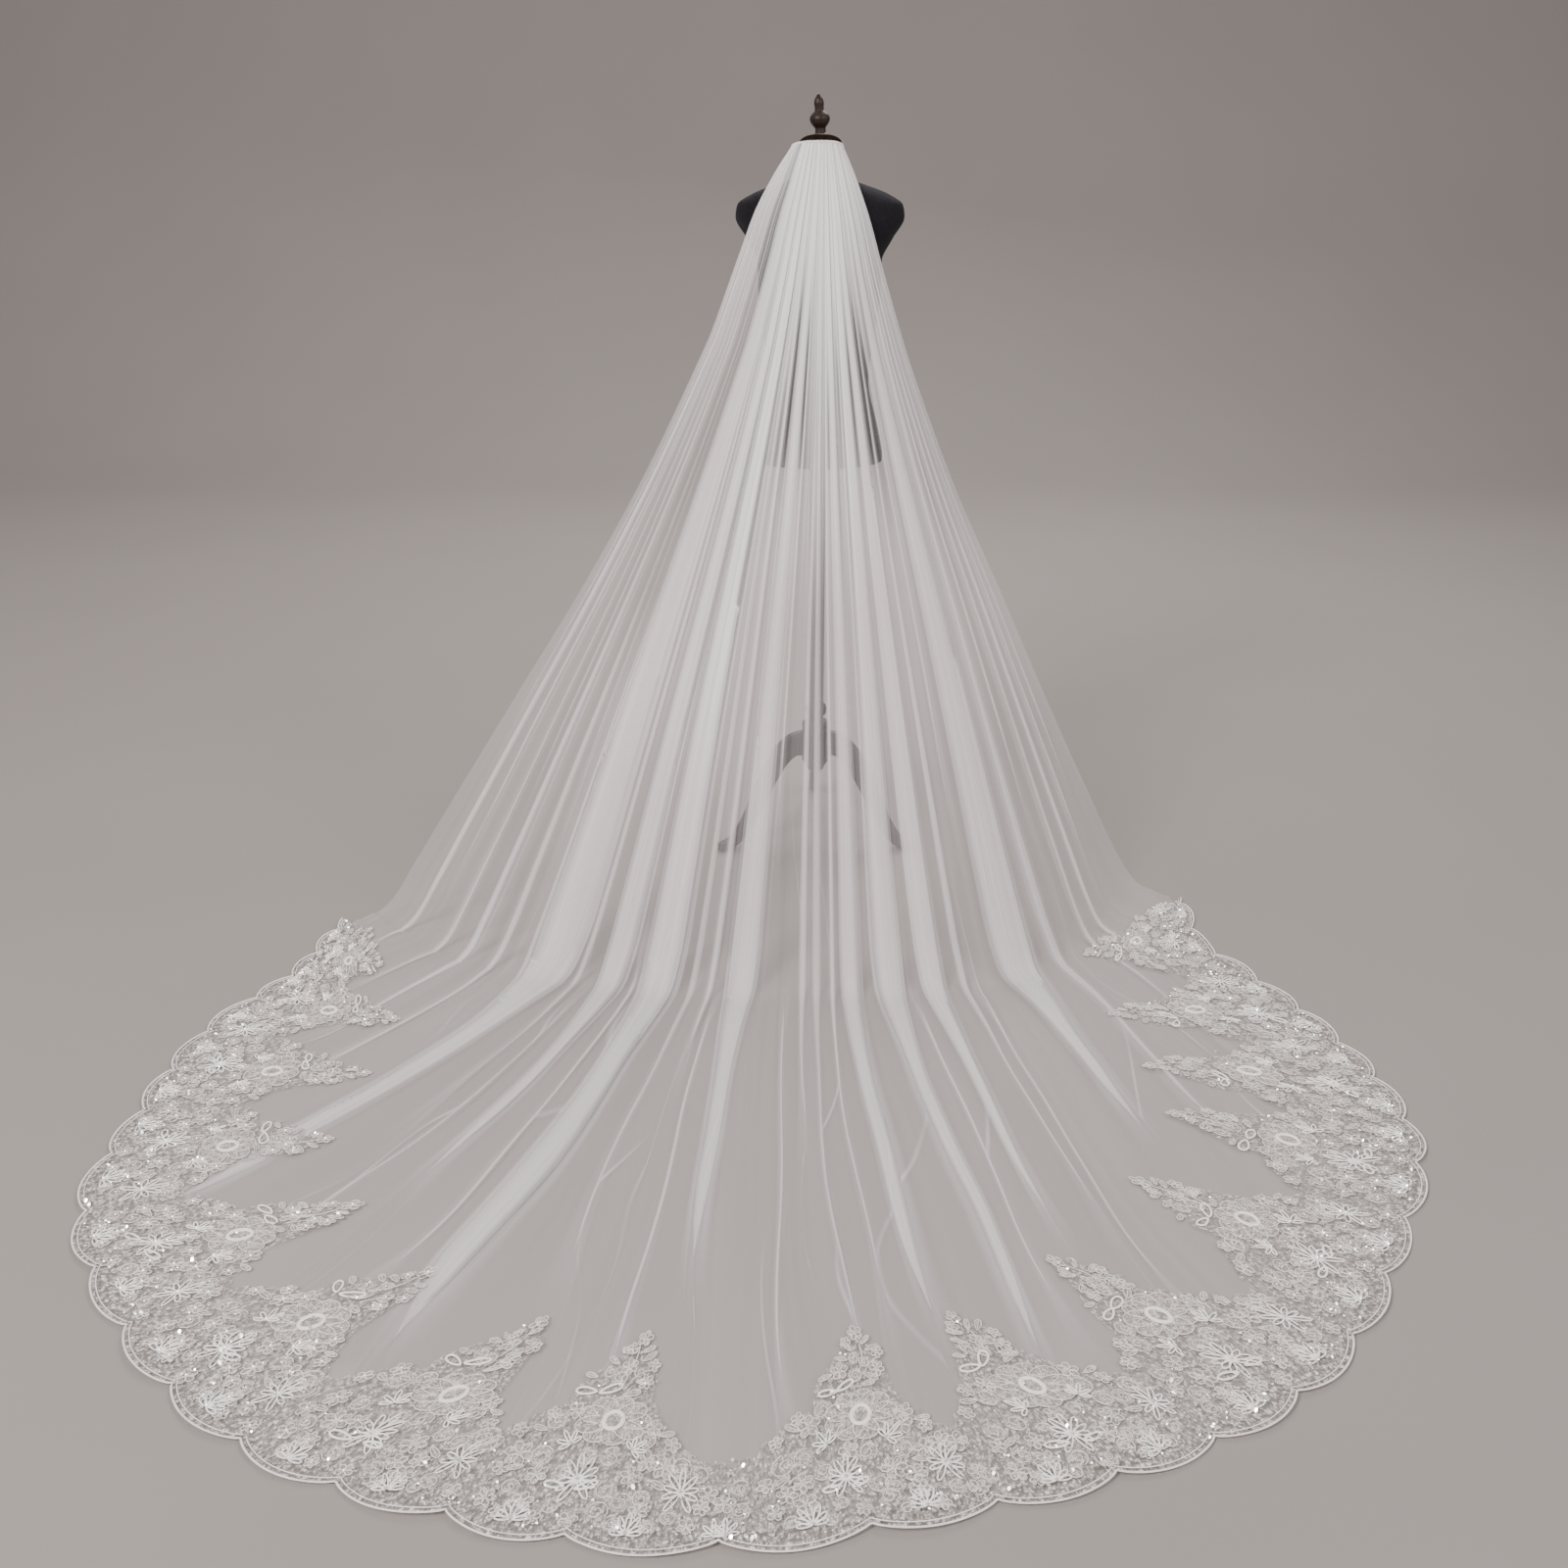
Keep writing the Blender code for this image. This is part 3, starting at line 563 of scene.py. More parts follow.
@dataclass(frozen=True)
class SequinFinish:
    """Clear silvery sequins and beads with a faint change of tint."""

    cool: Colour = (0.93, 0.95, 0.98)
    warm: Colour = (0.98, 0.95, 0.93)
    tint: Noise = Noise(75.0, 1.0)

    def build(self) -> Material:
        """Build the sequins; noise moves their tint from cool to warm.

        Returns:
            The material.
        """
        g = Graph("sequins")
        tint = g.noise(g.scaled("Object"), self.tint)
        g.put(Base_Color=g.ramp(tint, (0.35, self.cool), (0.65, self.warm)))
        g.put(Metallic=0.75, Roughness=g.swing(tint, 0.1, 0.25), Coat_Weight=1.0, Coat_Roughness=0.05)
        return g.material


@dataclass(frozen=True)
class JerseyFinish:
    """Black knitted cover of the form, with fine ribs and a little lint."""

    black: Colour = (0.006, 0.005, 0.007)
    worn: Colour = (0.018, 0.014, 0.017)
    stitch: float = 0.0016
    lint: Noise = Noise(140.0, 4.0, 0.7)

    def build(self) -> Material:
        """Build the cover; its ribs run on the cover's own coordinates.

        Returns:
            The material.
        """
        g = Graph("black_jersey")
        flat, often = g.scaled("UV"), 0.5 / self.stitch
        ribs = g.node("ShaderNodeTexWave", Vector=flat, Scale=often, Distortion=1.5).outputs[1]
        lint = g.noise(flat, self.lint)
        g.put(Base_Color=g.ramp(lint, (0.35, self.black), (0.85, self.worn)))
        g.put(Roughness=0.85, Specular_IOR_Level=0.12, Sheen_Weight=0.04, Sheen_Roughness=0.5)
        g.bump(g.plus(ribs, lint), 0.0004, 0.6)
        return g.material


@dataclass(frozen=True)
class WoodFinish:
    """Dark stained wood under satin lacquer."""

    name: str = "dark_wood"
    dark: Colour = (0.008, 0.005, 0.004)
    light: Colour = (0.036, 0.018, 0.012)
    shine: float = 0.25
    coat: float = 0.04
    grain: Triple = (60.0, 60.0, 5.0)
    pore: Triple = (420.0, 420.0, 22.0)

    def build(self) -> Material:
        """Build the wood; its grain is long noise with fine pores.

        Returns:
            The material.
        """
        g = Graph(self.name)
        grain = g.noise(g.scaled("Object", self.grain), Noise(1.0, 4.0, 0.65))
        pores = g.noise(g.scaled("Object", self.pore), Noise(1.0, 2.0, 0.6))
        g.put(Base_Color=g.ramp(grain, (0.3, self.dark), (0.72, self.light)))
        g.put(Roughness=g.swing(pores, 0.4, 0.58), Specular_IOR_Level=self.shine)
        g.put(Coat_Weight=self.coat, Coat_Roughness=0.18)
        g.bump(g.plus(g.times(grain, 0.6), pores), 0.0004, 0.5)
        return g.material


@dataclass(frozen=True)
class MetalFinish:
    """Plated comb metal with fine brushing."""

    silver: Colour = (0.8, 0.79, 0.78)
    dull: Colour = (0.58, 0.57, 0.57)
    brushing: Triple = (300.0, 300.0, 2500.0)

    def build(self) -> Material:
        """Build the metal; its brushing follows the height.

        Returns:
            The material.
        """
        g = Graph("comb_silver")
        brush = g.noise(g.scaled("Object", self.brushing), Noise())
        g.put(Base_Color=g.ramp(brush, (0.3, self.dull), (0.7, self.silver)))
        g.put(Metallic=1.0, Roughness=g.swing(brush, 0.2, 0.36))
        g.bump(brush, 0.0001, 0.3)
        return g.material


@dataclass(frozen=True)
class PaintFinish:
    """Plain matt paint with the slightest mottle."""

    colour: Colour
    darker: float = 0.97
    mottle: Noise = Noise(1.4)

    def build(self) -> Material:
        """Build the paint.

        Returns:
            The material.
        """
        g = Graph("studio_paint")
        mottle = g.noise(g.scaled("Object"), self.mottle)
        darker: Colour = tuple(self.darker * part for part in self.colour)
        g.put(Base_Color=g.ramp(mottle, (0.3, darker), (0.7, self.colour)))
        g.put(Roughness=0.9, Specular_IOR_Level=0.1)
        return g.material


# ---- shape of the drape


class FallRow(NamedTuple):
    """Height while it hangs, as a share of the whole, at the sides and mid-way."""

    down: float
    left: float
    middle: float
    right: float


class HemRow(NamedTuple):
    """Reach of the train from its centre at one angle in degrees."""

    angle: float
    reach: float


class RayRow(NamedTuple):
    """Where one lengthwise line of the net lands, and the hem angle it ends at."""

    across: float
    land_x: float
    land_y: float
    hem_angle: float


FALL_SHAPE = table(FallRow,
    (0, 1, 1, 1), (0.1, 0.895, 0.8775, 0.868), (0.2, 0.765, 0.756, 0.735), (0.35, 0.587, 0.578, 0.563),
    (0.5, 0.435, 0.406, 0.419), (0.65, 0.299, 0.245, 0.274), (0.8, 0.163, 0.102, 0.136),
    (0.9, 0.072, 0.03, 0.05), (0.97, 0.012, 0.003, 0.007), (1, 0, 0, 0),
)
HEM_OUTLINE = table(HemRow,
    (146, 1.165), (160, 1.1), (172, 1.15), (184, 1.165), (200, 1.222), (213, 1.195), (230, 1.165),
    (248, 1.11), (266, 1.08), (284, 1.055), (300, 1.085), (316, 1.13), (334, 1.145), (350, 1.185),
    (362, 1.16), (374, 1.12), (387, 1.095), (399, 1.23),
)
RAYS = table(RayRow,
    (0, -1.025, -0.48, 146), (0.15, -0.79, -0.7, 178), (0.3, -0.51, -0.82, 212),
    (0.46, -0.18, -0.88, 262), (0.64, 0.16, -0.87, 298), (0.82, 0.51, -0.74, 332),
    (1, 0.785, -0.345, 399),
)


@dataclass(frozen=True)
class Drape:
    """The plain, unfolded surface that the net follows."""

    gather_top: float = 1.64
    gather_arc: float = 0.118
    gather_radius: float = 0.0498
    shoulder_lift: float = 0.044
    shoulder_down: float = 0.105
    landing_turn: float = 0.8
    start_pull: float = 0.9
    end_pull: float = 0.7
    hem_inset: float = 0.022
    hem_nudge: float = 0.5
    centre: Pair = (-0.11, -1.15)

    def reach(self, angle: Array) -> Array:
        """Return how far the hem is from its centre at this angle."""
        return read(HEM_OUTLINE, "reach", angle)

    def hem(self, angle: Array, inset: Array | float = 0.0) -> Array:
        """Return the floor point of the hem at this angle, moved in by inset."""
        out = (self.reach(angle) - inset)[..., None]
        return np.array(self.centre) + out * around(np.radians(angle))

    def hem_outward(self, angle: Array) -> Array:
        """Return the direction in which the hem faces at this angle."""
        along = unit(self.hem(angle + self.hem_nudge) - self.hem(angle - self.hem_nudge))
        return stacked(along[..., 1], -along[..., 0])

    def place(self, across: Array, down: Array) -> Array:
        """Work out the place of the unfolded net.

        Each lengthwise line leaves the gathered arc, comes down to the floor
        on a cubic plan with a hollow profile, rides out over the shoulders at
        the sides, and then lies on the floor on a second cubic to the hem.

        Args:
            across: 0 at the left side edge to 1 at the right one.
            down: 0 at the comb, 1 at the landing, 2 at the hem.

        Returns:
            Places from the form's axis.
        """
        across, down = np.broadcast_arrays(across, down)
        turn = (across - 0.5) * self.gather_arc / self.gather_radius
        start = self.gather_radius * stacked(np.sin(turn), -np.cos(turn))
        land = stacked(read(RAYS, "land_x", across), read(RAYS, "land_y", across))
        angle = read(RAYS, "hem_angle", across)
        end = self.hem(angle, self.hem_inset)

        side = np.abs(2 * across - 1)
        run = land - start
        length = np.linalg.norm(run, axis=-1, keepdims=True)
        forward = self.landing_turn * (1 - side**2)[..., None] * BACKWARDS
        landing = unit(run / length + forward)
        fall = np.clip(down, 0, 1)
        plan = cubic(start, land, run, landing * length, fall[..., None])
        over = fall / self.shoulder_down
        plan[..., 1] -= self.shoulder_lift * side**2 * over * np.exp(1 - over) * (1 - fall)
        left, middle, right = (read(FALL_SHAPE, name, fall) for name in ("left", "middle", "right"))
        edge = np.where(across < 0.5, left, right)
        height = self.gather_top * (middle + (edge - middle) * side**2)

        far = np.linalg.norm(end - land, axis=-1, keepdims=True)
        leaving = landing * far * self.start_pull
        arriving = self.hem_outward(angle) * far * self.end_pull
        train = cubic(land, end, leaving, arriving, np.clip(down - 1, 0, 1)[..., None])
        lying = down > 1
        plan = np.where(lying[..., None], train, plan)
        return np.concatenate((plan, np.where(lying, 0.0, height)[..., None]), axis=-1)

    def outward(self, across: Array, down: Array) -> Array:
        """Find the direction in which the net's outer side faces.

        It is the cross product of the way down and the way across.

        Args:
            across: Places across the net.
            down: Places down it.

        Returns:
            Unit vectors.
        """
        here = self.place(across, down)
        above, below = (self.place(across, np.clip(down + step, 0, 2)) for step in (-NUDGE, NUDGE))
        left, right = (self.place(np.clip(across + step, 0, 1), down) for step in (-NUDGE, NUDGE))
        out = unit(np.cross(unit(here - above) + unit(below - here), right - left))
        return np.where(out[..., 2:] < 0, -out, out)

    def polar_depth(self, plan: Array) -> Array:
        """Measure how far a place in the plan lies inside the hem.

        Args:
            plan: Places in the plan.

        Returns:
            Metres towards the train's centre.
        """
        away = plan - self.centre
        angle = np.degrees(np.arctan2(away[..., 1], away[..., 0])) % 360
        angle = np.where(angle < 90, angle + 360, angle)
        return self.reach(angle) - np.linalg.norm(away, axis=-1)


@dataclass(frozen=True)
class Floor:
    """Heights of the unfolded net over the plan, for what lies on it."""

    drape: Drape
    step: float = 0.02
    low: Pair = (-1.36, -2.42)
    counts: tuple[int, int] = (130, 122)
    samples: int = 90
    first_down: float = 0.55
    blocks: int = 24
    rounds: int = 10
    most_across: float = 0.05
    most_down: float = 0.1
    least_area: float = 1e-6
    wave_rise: float = 0.0011
    waves: tuple[Wave, ...] = table(
        Wave, (19.0, 9.0, 0.6, 1.0), (-11.0, 23.0, 2.1, 1.0), (29.0, -17.0, 0.0, 0.7))

    def nearest(self, goal: Array) -> tuple[Array, Array]:
        """Find the nearest of a coarse set of samples of the drape.

        Args:
            goal: Places in the plan.

        Returns:
            "Across" and "down" of that sample, for each place.
        """
        sides, rows = np.linspace(0, 1, self.samples), np.linspace(self.first_down, 2, self.samples)
        across, down = (grid.ravel() for grid in np.meshgrid(sides, rows))
        known = self.drape.place(across, down)[:, :2]
        blocks = np.array_split(goal, self.blocks)
        near = [((block[:, None] - known[None]) ** 2).sum(-1).argmin(1) for block in blocks]
        nearest = np.concatenate(near)
        return across[nearest], down[nearest]

    def heights(self) -> Array:
        """Make a table of heights on a square grid of the plan.

        Each grid point starts at the nearest sample of the drape and is
        brought onto it by Newton steps on (across, down).

        Returns:
            Heights, one row for each x of the grid.
        """
        x, y = (self.low[axis] + self.step * np.arange(self.counts[axis]) for axis in (0, 1))
        goal = stacked(x[:, None], y).reshape(-1, 2)
        a, d = self.nearest(goal)
        for _ in range(self.rounds):
            here = self.drape.place(a, d)[:, :2]
            miss = goal - here
            side = np.where(a > 0.5, -NUDGE, NUDGE)
            by_a = (self.drape.place(a + side, d)[:, :2] - here) / side[:, None]
            by_d = (self.drape.place(a, d - NUDGE)[:, :2] - here) / -NUDGE
            whole = by_a[:, 0] * by_d[:, 1] - by_a[:, 1] * by_d[:, 0]
            whole = np.where(np.abs(whole) < self.least_area, self.least_area, whole)
            move_a = (miss[:, 0] * by_d[:, 1] - miss[:, 1] * by_d[:, 0]) / whole
            move_d = (by_a[:, 0] * miss[:, 1] - by_a[:, 1] * miss[:, 0]) / whole
            a = np.clip(a + np.clip(move_a, -self.most_across, self.most_across), 0, 1)
            d = np.clip(d + np.clip(move_d, -self.most_down, self.most_down), self.first_down, 2)
        return self.drape.place(a, d)[:, 2].reshape(self.counts)

    def ripple(self, plan: Array) -> Array:
        """Return the low waves, 0.2 to 0.5 m long, in which the train's border lies."""
        return self.wave_rise * ripples(self.waves, plan[..., 0], plan[..., 1])


# ---- the net


class Pleat(NamedTuple):
    """One fold of three layers; widths are shares of the net's width."""

    across: float
    hanging: float
    lying: float
    start: float
    end: float
    rise: float
    lean: int


class Density(NamedTuple):
    """A run where the net is bunched closer or opened."""

    across: float
    half: float
    start: float
    end: float
    gain: float


class DownRow(NamedTuple):
    """One value at one place down the net."""

    down: float
    value: float


class FlareRow(NamedTuple):
    """How far the side edges stand out near the comb."""

    down: float
    left: float
    right: float


PLEATS = table(Pleat,
    (0.032, 0.007, 0.003, -1, 0.8, 0.004, 1), (0.05, 0.008, 0.002, -1, 1.42, 0.006, -1),
    (0.078, 0.006, 0.003, -1, 0.93, 0.005, 1), (0.113, 0.007, 0.002, -1, 1.5, 0.006, 1),
    (0.132, 0.005, 0.002, -1, 0.86, 0.005, -1), (0.152, 0.011, 0.005, -1, 1.62, 0.008, 1),
    (0.19, 0.01, 0.003, -1, 1.72, 0.008, -1), (0.2055, 0.005, 0.002, -1, 0.84, 0.005, 1),
    (0.252, 0.06, 0.019, -1, 1.92, 0.016, -1), (0.292, 0.007, 0.002, -1, 1.55, 0.006, 1),
    (0.307, 0.006, 0.002, 0.9, 1.88, 0.004, 1), (0.329, 0.03, 0.01, -1, 1.62, 0.01, 1),
    (0.351, 0.005, 0.0018, 0.8, 1.84, 0.004, -1), (0.375, 0.04, 0.02, -1, 1.85, 0.014, 1),
    (0.409, 0.006, 0.0018, -1, 1.74, 0.006, -1), (0.43, 0.008, 0.0018, -1, 1.3, 0.006, 1),
    (0.439, 0.004, 0.0018, 0.9, 1.9, 0.004, -1), (0.463, 0.034, 0.014, -1, 1.66, 0.012, -1),
    (0.493, 0.006, 0.003, -1, 0.82, 0.005, 1), (0.512, 0.005, 0.0018, 0.9, 1.93, 0.004, 1),
    (0.53, 0.007, 0.002, -1, 1.45, 0.005, -1), (0.547, 0.01, 0.0022, -1, 1.88, 0.006, 1),
    (0.565, 0.006, 0.0018, -1, 1.8, 0.005, -1), (0.589, 0.024, 0.013, -1, 1.78, 0.009, 1),
    (0.634, 0.034, 0.011, -1, 1.88, 0.011, -1), (0.658, 0.004, 0.0018, 0.9, 1.86, 0.004, 1),
    (0.68, 0.026, 0.009, -1, 1.66, 0.01, 1), (0.712, 0.008, 0.002, -1, 1.72, 0.006, 1),
    (0.724, 0.004, 0.0018, 0.9, 1.9, 0.004, -1), (0.736, 0.006, 0.003, -1, 0.78, 0.005, -1),
    (0.78, 0.048, 0.016, -1, 1.55, 0.015, 1), (0.83, 0.014, 0.005, -1, 1.68, 0.009, -1),
    (0.857, 0.006, 0.003, -1, 0.84, 0.005, 1), (0.884, 0.008, 0.002, -1, 1.62, 0.006, -1),
    (0.912, 0.006, 0.002, -1, 1.38, 0.005, 1), (0.94, 0.008, 0.003, -1, 0.97, 0.006, -1),
    (0.965, 0.006, 0.002, -1, 0.86, 0.004, 1),
)
DENSITIES = table(Density,
    (0.345, 0.06, -0.2, 0.7, 1.1), (0.202, 0.046, -0.1, 0.62, -0.84), (0.13, 0.02, 0.3, 0.9, -0.45),
    (0.765, 0.03, 0.02, 0.4, -0.55), (0.87, 0.03, 0.25, 0.8, -0.35), (0.56, 0.17, -0.2, 0.5, 1.2),
    (0.419, 0.007, 0.15, 0.46, -1.1), (0.441, 0.008, 0.07, 0.44, -1.7),
    (0.486, 0.007, 0.09, 0.43, -1.8), (0.53, 0.005, 0.16, 0.42, -1.3), (0.572, 0.005, 0.17, 0.42, -1.4),
    (0.611, 0.005, 0.12, 0.4, -1.5), (0.659, 0.006, 0.11, 0.42, -1.5), (0.701, 0.008, 0.08, 0.44, -1.6),
    (0.724, 0.011, 0.12, 0.46, -1.45), (0.945, 0.045, 0.05, 0.7, 0.35), (0.045, 0.035, 0.05, 0.6, 0.35),
)
FLUTES = table(DownRow,  # height of the waves between the pleats
    (0, 0.0005), (0.1, 0.001), (0.3, 0.0024), (0.6, 0.004), (0.9, 0.003), (1.15, 0.0012),
    (1.6, 0.0007), (2, 0.0003),
)
FLARE = table(FlareRow,
    (0, 0.016, 0.002), (0.03, 0.023, 0.008), (0.06, 0.024, 0.01), (0.12, 0.012, 0.004), (0.2, 0, 0),
)
STREAKS = table(DownRow,  # how strongly the net is streaked
    (0, 0.12), (0.1, 0.16), (0.35, 0.36), (0.6, 0.44), (1.1, 0.27), (2, 0.26),
)
NET_NODES = ("veil_heading", *(f"veil_{part}_{n}" for part in ("fall", "train") for n in range(1, 6)))
NEAR_ROWS = (0, 0.004, 0.009, 0.016, 0.025, 0.036, 0.048, 0.06)  # "down" of the rows by the comb


@dataclass(frozen=True)
class Tulle:
    """The whole net, one length of it, gathered at the comb and pleated."""

    drape: Drape
    floor: Floor
    flat_width: float = 3.6
    flat_length: float = 3.2
    flat_area: float = 9.4
    fall_rows: int = 68
    train_rows: int = 62
    pleat_points: int = 11
    gap_points: int = 5
    least: float = 0.0045  # width that a flattened pleat's points still take
    fade: float = 0.25  # "down" over which a pleat starts or ends
    rounding: float = 0.05
    settling: Pair = (0.85, 1.25)  # "down" over which a pleat takes its lying width
    taper: Pair = (0.5, 2.2)  # share of width lost at its end, over so many fades
    bends: tuple[Wave, ...] = table(Wave, (5.0, 40.0, 0.0, 0.0016), (9.0, 90.0, 0.0, 0.003))
    bending: Pair = (1.1, 1.6)  # "down" over which the second bend starts
    layer: Triple = (0.0007, 0.0016, 0.0012)  # height: least, more while hanging, less on the floor
    layering: Pair = (0.05, 0.5)
    rising: Pair = (0.08, 0.55)
    sinking: Pair = (0.8, 1.1)
    sunk: float = 0.75
    ridge_half: float = 0.62
    ridge_least: float = 1e-4
    ridge_power: float = 1.5
    narrow: float = 0.02
    narrow_gain: float = 1.1
    wide_gain: float = 2.1
    bunching: Pair = (0.12, 0.65)
    least_bunched: float = 0.25
    waves: tuple[Wave, ...] = table(
        Wave, (26.0, 0.35, 0.0, 1.0), (43.0, -0.3, 1.3, 1.0), (67.0, 0.2, 0.4, 0.8))
    crown: float = 0.011
    crown_power: float = 2.6
    crown_down: float = 0.045
    clear: Pair = (0.36, 0.46)  # depth in from the hem over which folds start
    by_hem: float = 0.25  # share of the waves' height in the border
    landing: Pair = (0.85, 1.0)
    lying: Pair = (0.9, 1.1)
    lift: float = 0.0006
    creasing: Pair = (0.35, 1.2)
    cover: float = 0.115
    cut_width: float = 4.1
    most_layers: float = 18.0
    hand_limits: Pair = (0.24, 3.0)
    hand_fades: Pair = (0.12, 0.18)

    def down(self) -> Array:
        """Return the rows as a column, closer at the comb and where the net lands."""
        fall = np.linspace(NEAR_ROWS[-1], 1, self.fall_rows)[:-1]
        return np.concatenate((NEAR_ROWS[:-1], fall, np.linspace(1, 2, self.train_rows)))[:, None]

    def strength(self, pleat: Pleat, down: Array) -> Array:
        """Return 1 where a pleat is there, 0 where it isn't and a ramp between."""
        there = 1 - ease(pleat.end - self.fade, pleat.end, down)
        return there * ease(pleat.start, pleat.start + self.fade, down)

    def bend(self, pleat: Pleat, down: Array) -> Array:
        """Return how far a pleat wanders sideways, in shares of the net's width."""
        slow, quick = (ripples([bend], down, pleat.across) - bend.size for bend in self.bends)
        return slow + ease(*self.bending, down) * quick

    def pleat_columns(self, pleat: Pleat, down: Array) -> tuple[Array, Array, Array]:
        """Lay out "across", height and bunching for the columns of one pleat.

        The net goes forward over the pleat's width, back under itself and
        forward again: across = middle - width / 2 * cos(3 pi q) plus a small
        steady advance, for q from 0 to 1.  Its layers lie above each other in
        the order of lean, on a low rounded ridge.

        Args:
            pleat: The pleat.
            down: Rows, as a column.

        Returns:
            Three arrays, one row for each row of the net.
        """
        q = np.linspace(0, 1, self.pleat_points)
        there = self.strength(pleat, down)
        lying = ease(*self.settling, down)
        lost, fades = self.taper
        taper = 1 - lost * ease(pleat.end - fades * self.fade, pleat.end, down)
        width = (pleat.hanging + (pleat.lying - pleat.hanging) * lying) * there * taper
        bend = self.bend(pleat, down)
        spread = self.rounding * width + (1 - there) * self.least
        across = pleat.across + bend - width / 2 * np.cos(3 * np.pi * q) + spread * (2 * q - 1)
        order = (1 - q) if pleat.lean > 0 else q
        least, hanging, settled = self.layer
        layer = least + hanging * ease(*self.layering, down) - settled * lying
        half = self.ridge_half * width + self.ridge_least
        ridge = np.clip(1 - ((across - pleat.across - bend) / half) ** 2, 0, 1) ** self.ridge_power
        rise = pleat.rise * ease(*self.rising, down) * there
        rise = rise * (1 - self.sunk * ease(*self.sinking, down))
        gain = self.narrow_gain if pleat.hanging < self.narrow else self.wide_gain
        least = self.least_bunched
        gain = gain * there * (least + (1 - least) * ease(*self.bunching, down))
        bunched = np.broadcast_to(1 + gain, across.shape)
        return across, 2 * layer * there * order + rise * ridge, bunched

    def columns(self, down: Array) -> tuple[Array, Array, Array]:
        """Lay out "across", fold height and bunching for the whole grid.

        Between two pleats the net runs straight from one edge to the next.

        Args:
            down: Rows, as a column.

        Returns:
            Three arrays, one row for each row of the net.
        """
        blocks = [self.pleat_columns(pleat, down) for pleat in PLEATS]
        zero = np.zeros_like(down)
        blocks = [(zero, zero, zero + 1), *blocks, (zero + 1, zero, zero + 1)]
        t = np.linspace(0, 1, self.gap_points + 2)[1:-1]
        soft = t * t * (3 - 2 * t)
        across, heights, bunched = [], [], []
        for (left, low, thick), (right, high, _) in zip(blocks, blocks[1:]):
            across += [left, left[:, -1:] + (right[:, :1] - left[:, -1:]) * t]
            heights += [low, low[:, -1:] + (high[:, :1] - low[:, -1:]) * soft]
            bunched += [thick, np.ones((len(down), len(t)))]
        rows = zip((across, heights, bunched), blocks[-1])
        return tuple(np.hstack([*parts, last]) for parts, last in rows)

    def flutes(self, across: Array, down: Array) -> Array:
        """Return the heights of shallow waves across the net, between the pleats."""
        waves = ripples(self.waves, 2 * np.pi * across, 2 * np.pi * down)
        return read(FLUTES, "value", down) * waves / sum(column(self.waves, "size"))

    def top_shift(self, across: Array, down: Array) -> Array:
        """Work out how the gathers stand off their arc, near the comb.

        Mid-way they stand up before the cap, and their ends flare sideways.

        Args:
            across: Places across the net.
            down: Places down it.

        Returns:
            Moves in metres.
        """
        side = np.abs(2 * across - 1)
        up = self.crown * (1 - side**self.crown_power) * (1 - ease(0.0, self.crown_down, down))
        left = read(FLARE, "left", down) * ease(0.5, 0.0, across)
        right = read(FLARE, "right", down) * ease(0.5, 1.0, across)
        return stacked(right - left, 0.0, up)

    def density(self, points: Array, across: Array, down: Array, bunched: Array) -> Array:
        """Work out the share of light that one layer stops.

        The cut width of the net over the width it has here says how much
        closer its threads are, and n layers' worth of them stop
        1 - (1 - cover) ** n.

        Args:
            points: The net's grid.
            across: "Across" of each point.
            down: "Down" of each point.
            bunched: How many layers the pleats lay together.

        Returns:
            Shares from 0 to 1.
        """
        width = np.linalg.norm(np.diff(points, axis=1), axis=-1).sum(axis=1, keepdims=True)
        layers = np.clip(self.cut_width / width, 1.0, self.most_layers)
        rise, fall = self.hand_fades
        hand = np.zeros_like(across)
        for run in DENSITIES:
            beside = np.exp(-(((across - run.across) / run.half) ** 2))
            between = ease(run.start, run.start + rise, down)
            between = between * (1 - ease(run.end - fall, run.end, down))
            hand += run.gain * beside * between
        layers = layers * bunched * np.clip(1 + hand, *self.hand_limits)
        return 1 - (1 - self.cover) ** layers

    def build(self, finish: Material) -> Piece:
        """Build the net as one open sheet.

        Args:
            finish: Its material.

        Returns:
            The piece.
        """
        rows = self.down()
        across, heights, bunched = self.columns(rows)
        down = np.broadcast_to(rows, across.shape)
        plain = self.drape.place(across, down)
        inside = self.drape.polar_depth(plain[..., :2])
        free = ease(*self.clear, inside)
        free = np.where(down < 1, np.maximum(free, 1 - ease(*self.landing, down)), free)
        waves = self.flutes(across, down) * (self.by_hem + (1 - self.by_hem) * free)
        low = self.floor.ripple(plain[..., :2]) * ease(*self.lying, down) + self.lift
        points = plain + self.drape.outward(across, down) * (heights * free + waves + low)[..., None]
        points = points + self.top_shift(across, down)
        shape = across.shape
        sideways = np.linalg.norm(np.diff(points[shape[0] // 2], axis=0), axis=-1)
        u = np.append(0, np.cumsum(sideways))
        flat = stacked(u / u[-1] * self.flat_width, rows / 2 * self.flat_length)
        values = {
            "cover": self.density(points, across, down, bunched),
            "streaks": np.broadcast_to(read(STREAKS, "value", rows), shape),
            "creases": np.broadcast_to(ease(*self.creasing, rows), shape),
        }
        return new_piece("tulle", points, [grid_faces(*shape)], [finish], flat, values)

    def dress(self, net: Piece, edge: Piece) -> None:
        """Let the net and its bound edge ride on the part; the net stands for the veil's CAD nodes.

        Args:
            net: The net.
            edge: Its bound edge.
        """
        settle(net, "tulle", *NET_NODES)
        settle(edge, "tulle")


# ---- the lace


class Stitch(Enum):
    """Kinds of embroidery that the border is made of."""

    FLOWER = "open petals round a bead"
    LEAF = "a pointed leaf with a rib"
    LOOP = "one thick looped cord"
    RING = "a thick ring on lobed petals"
    SCROLL = "a cord curled up in a lobe"
    FAN = "narrow loops spread from a point"
    STEM = "a bent cord"


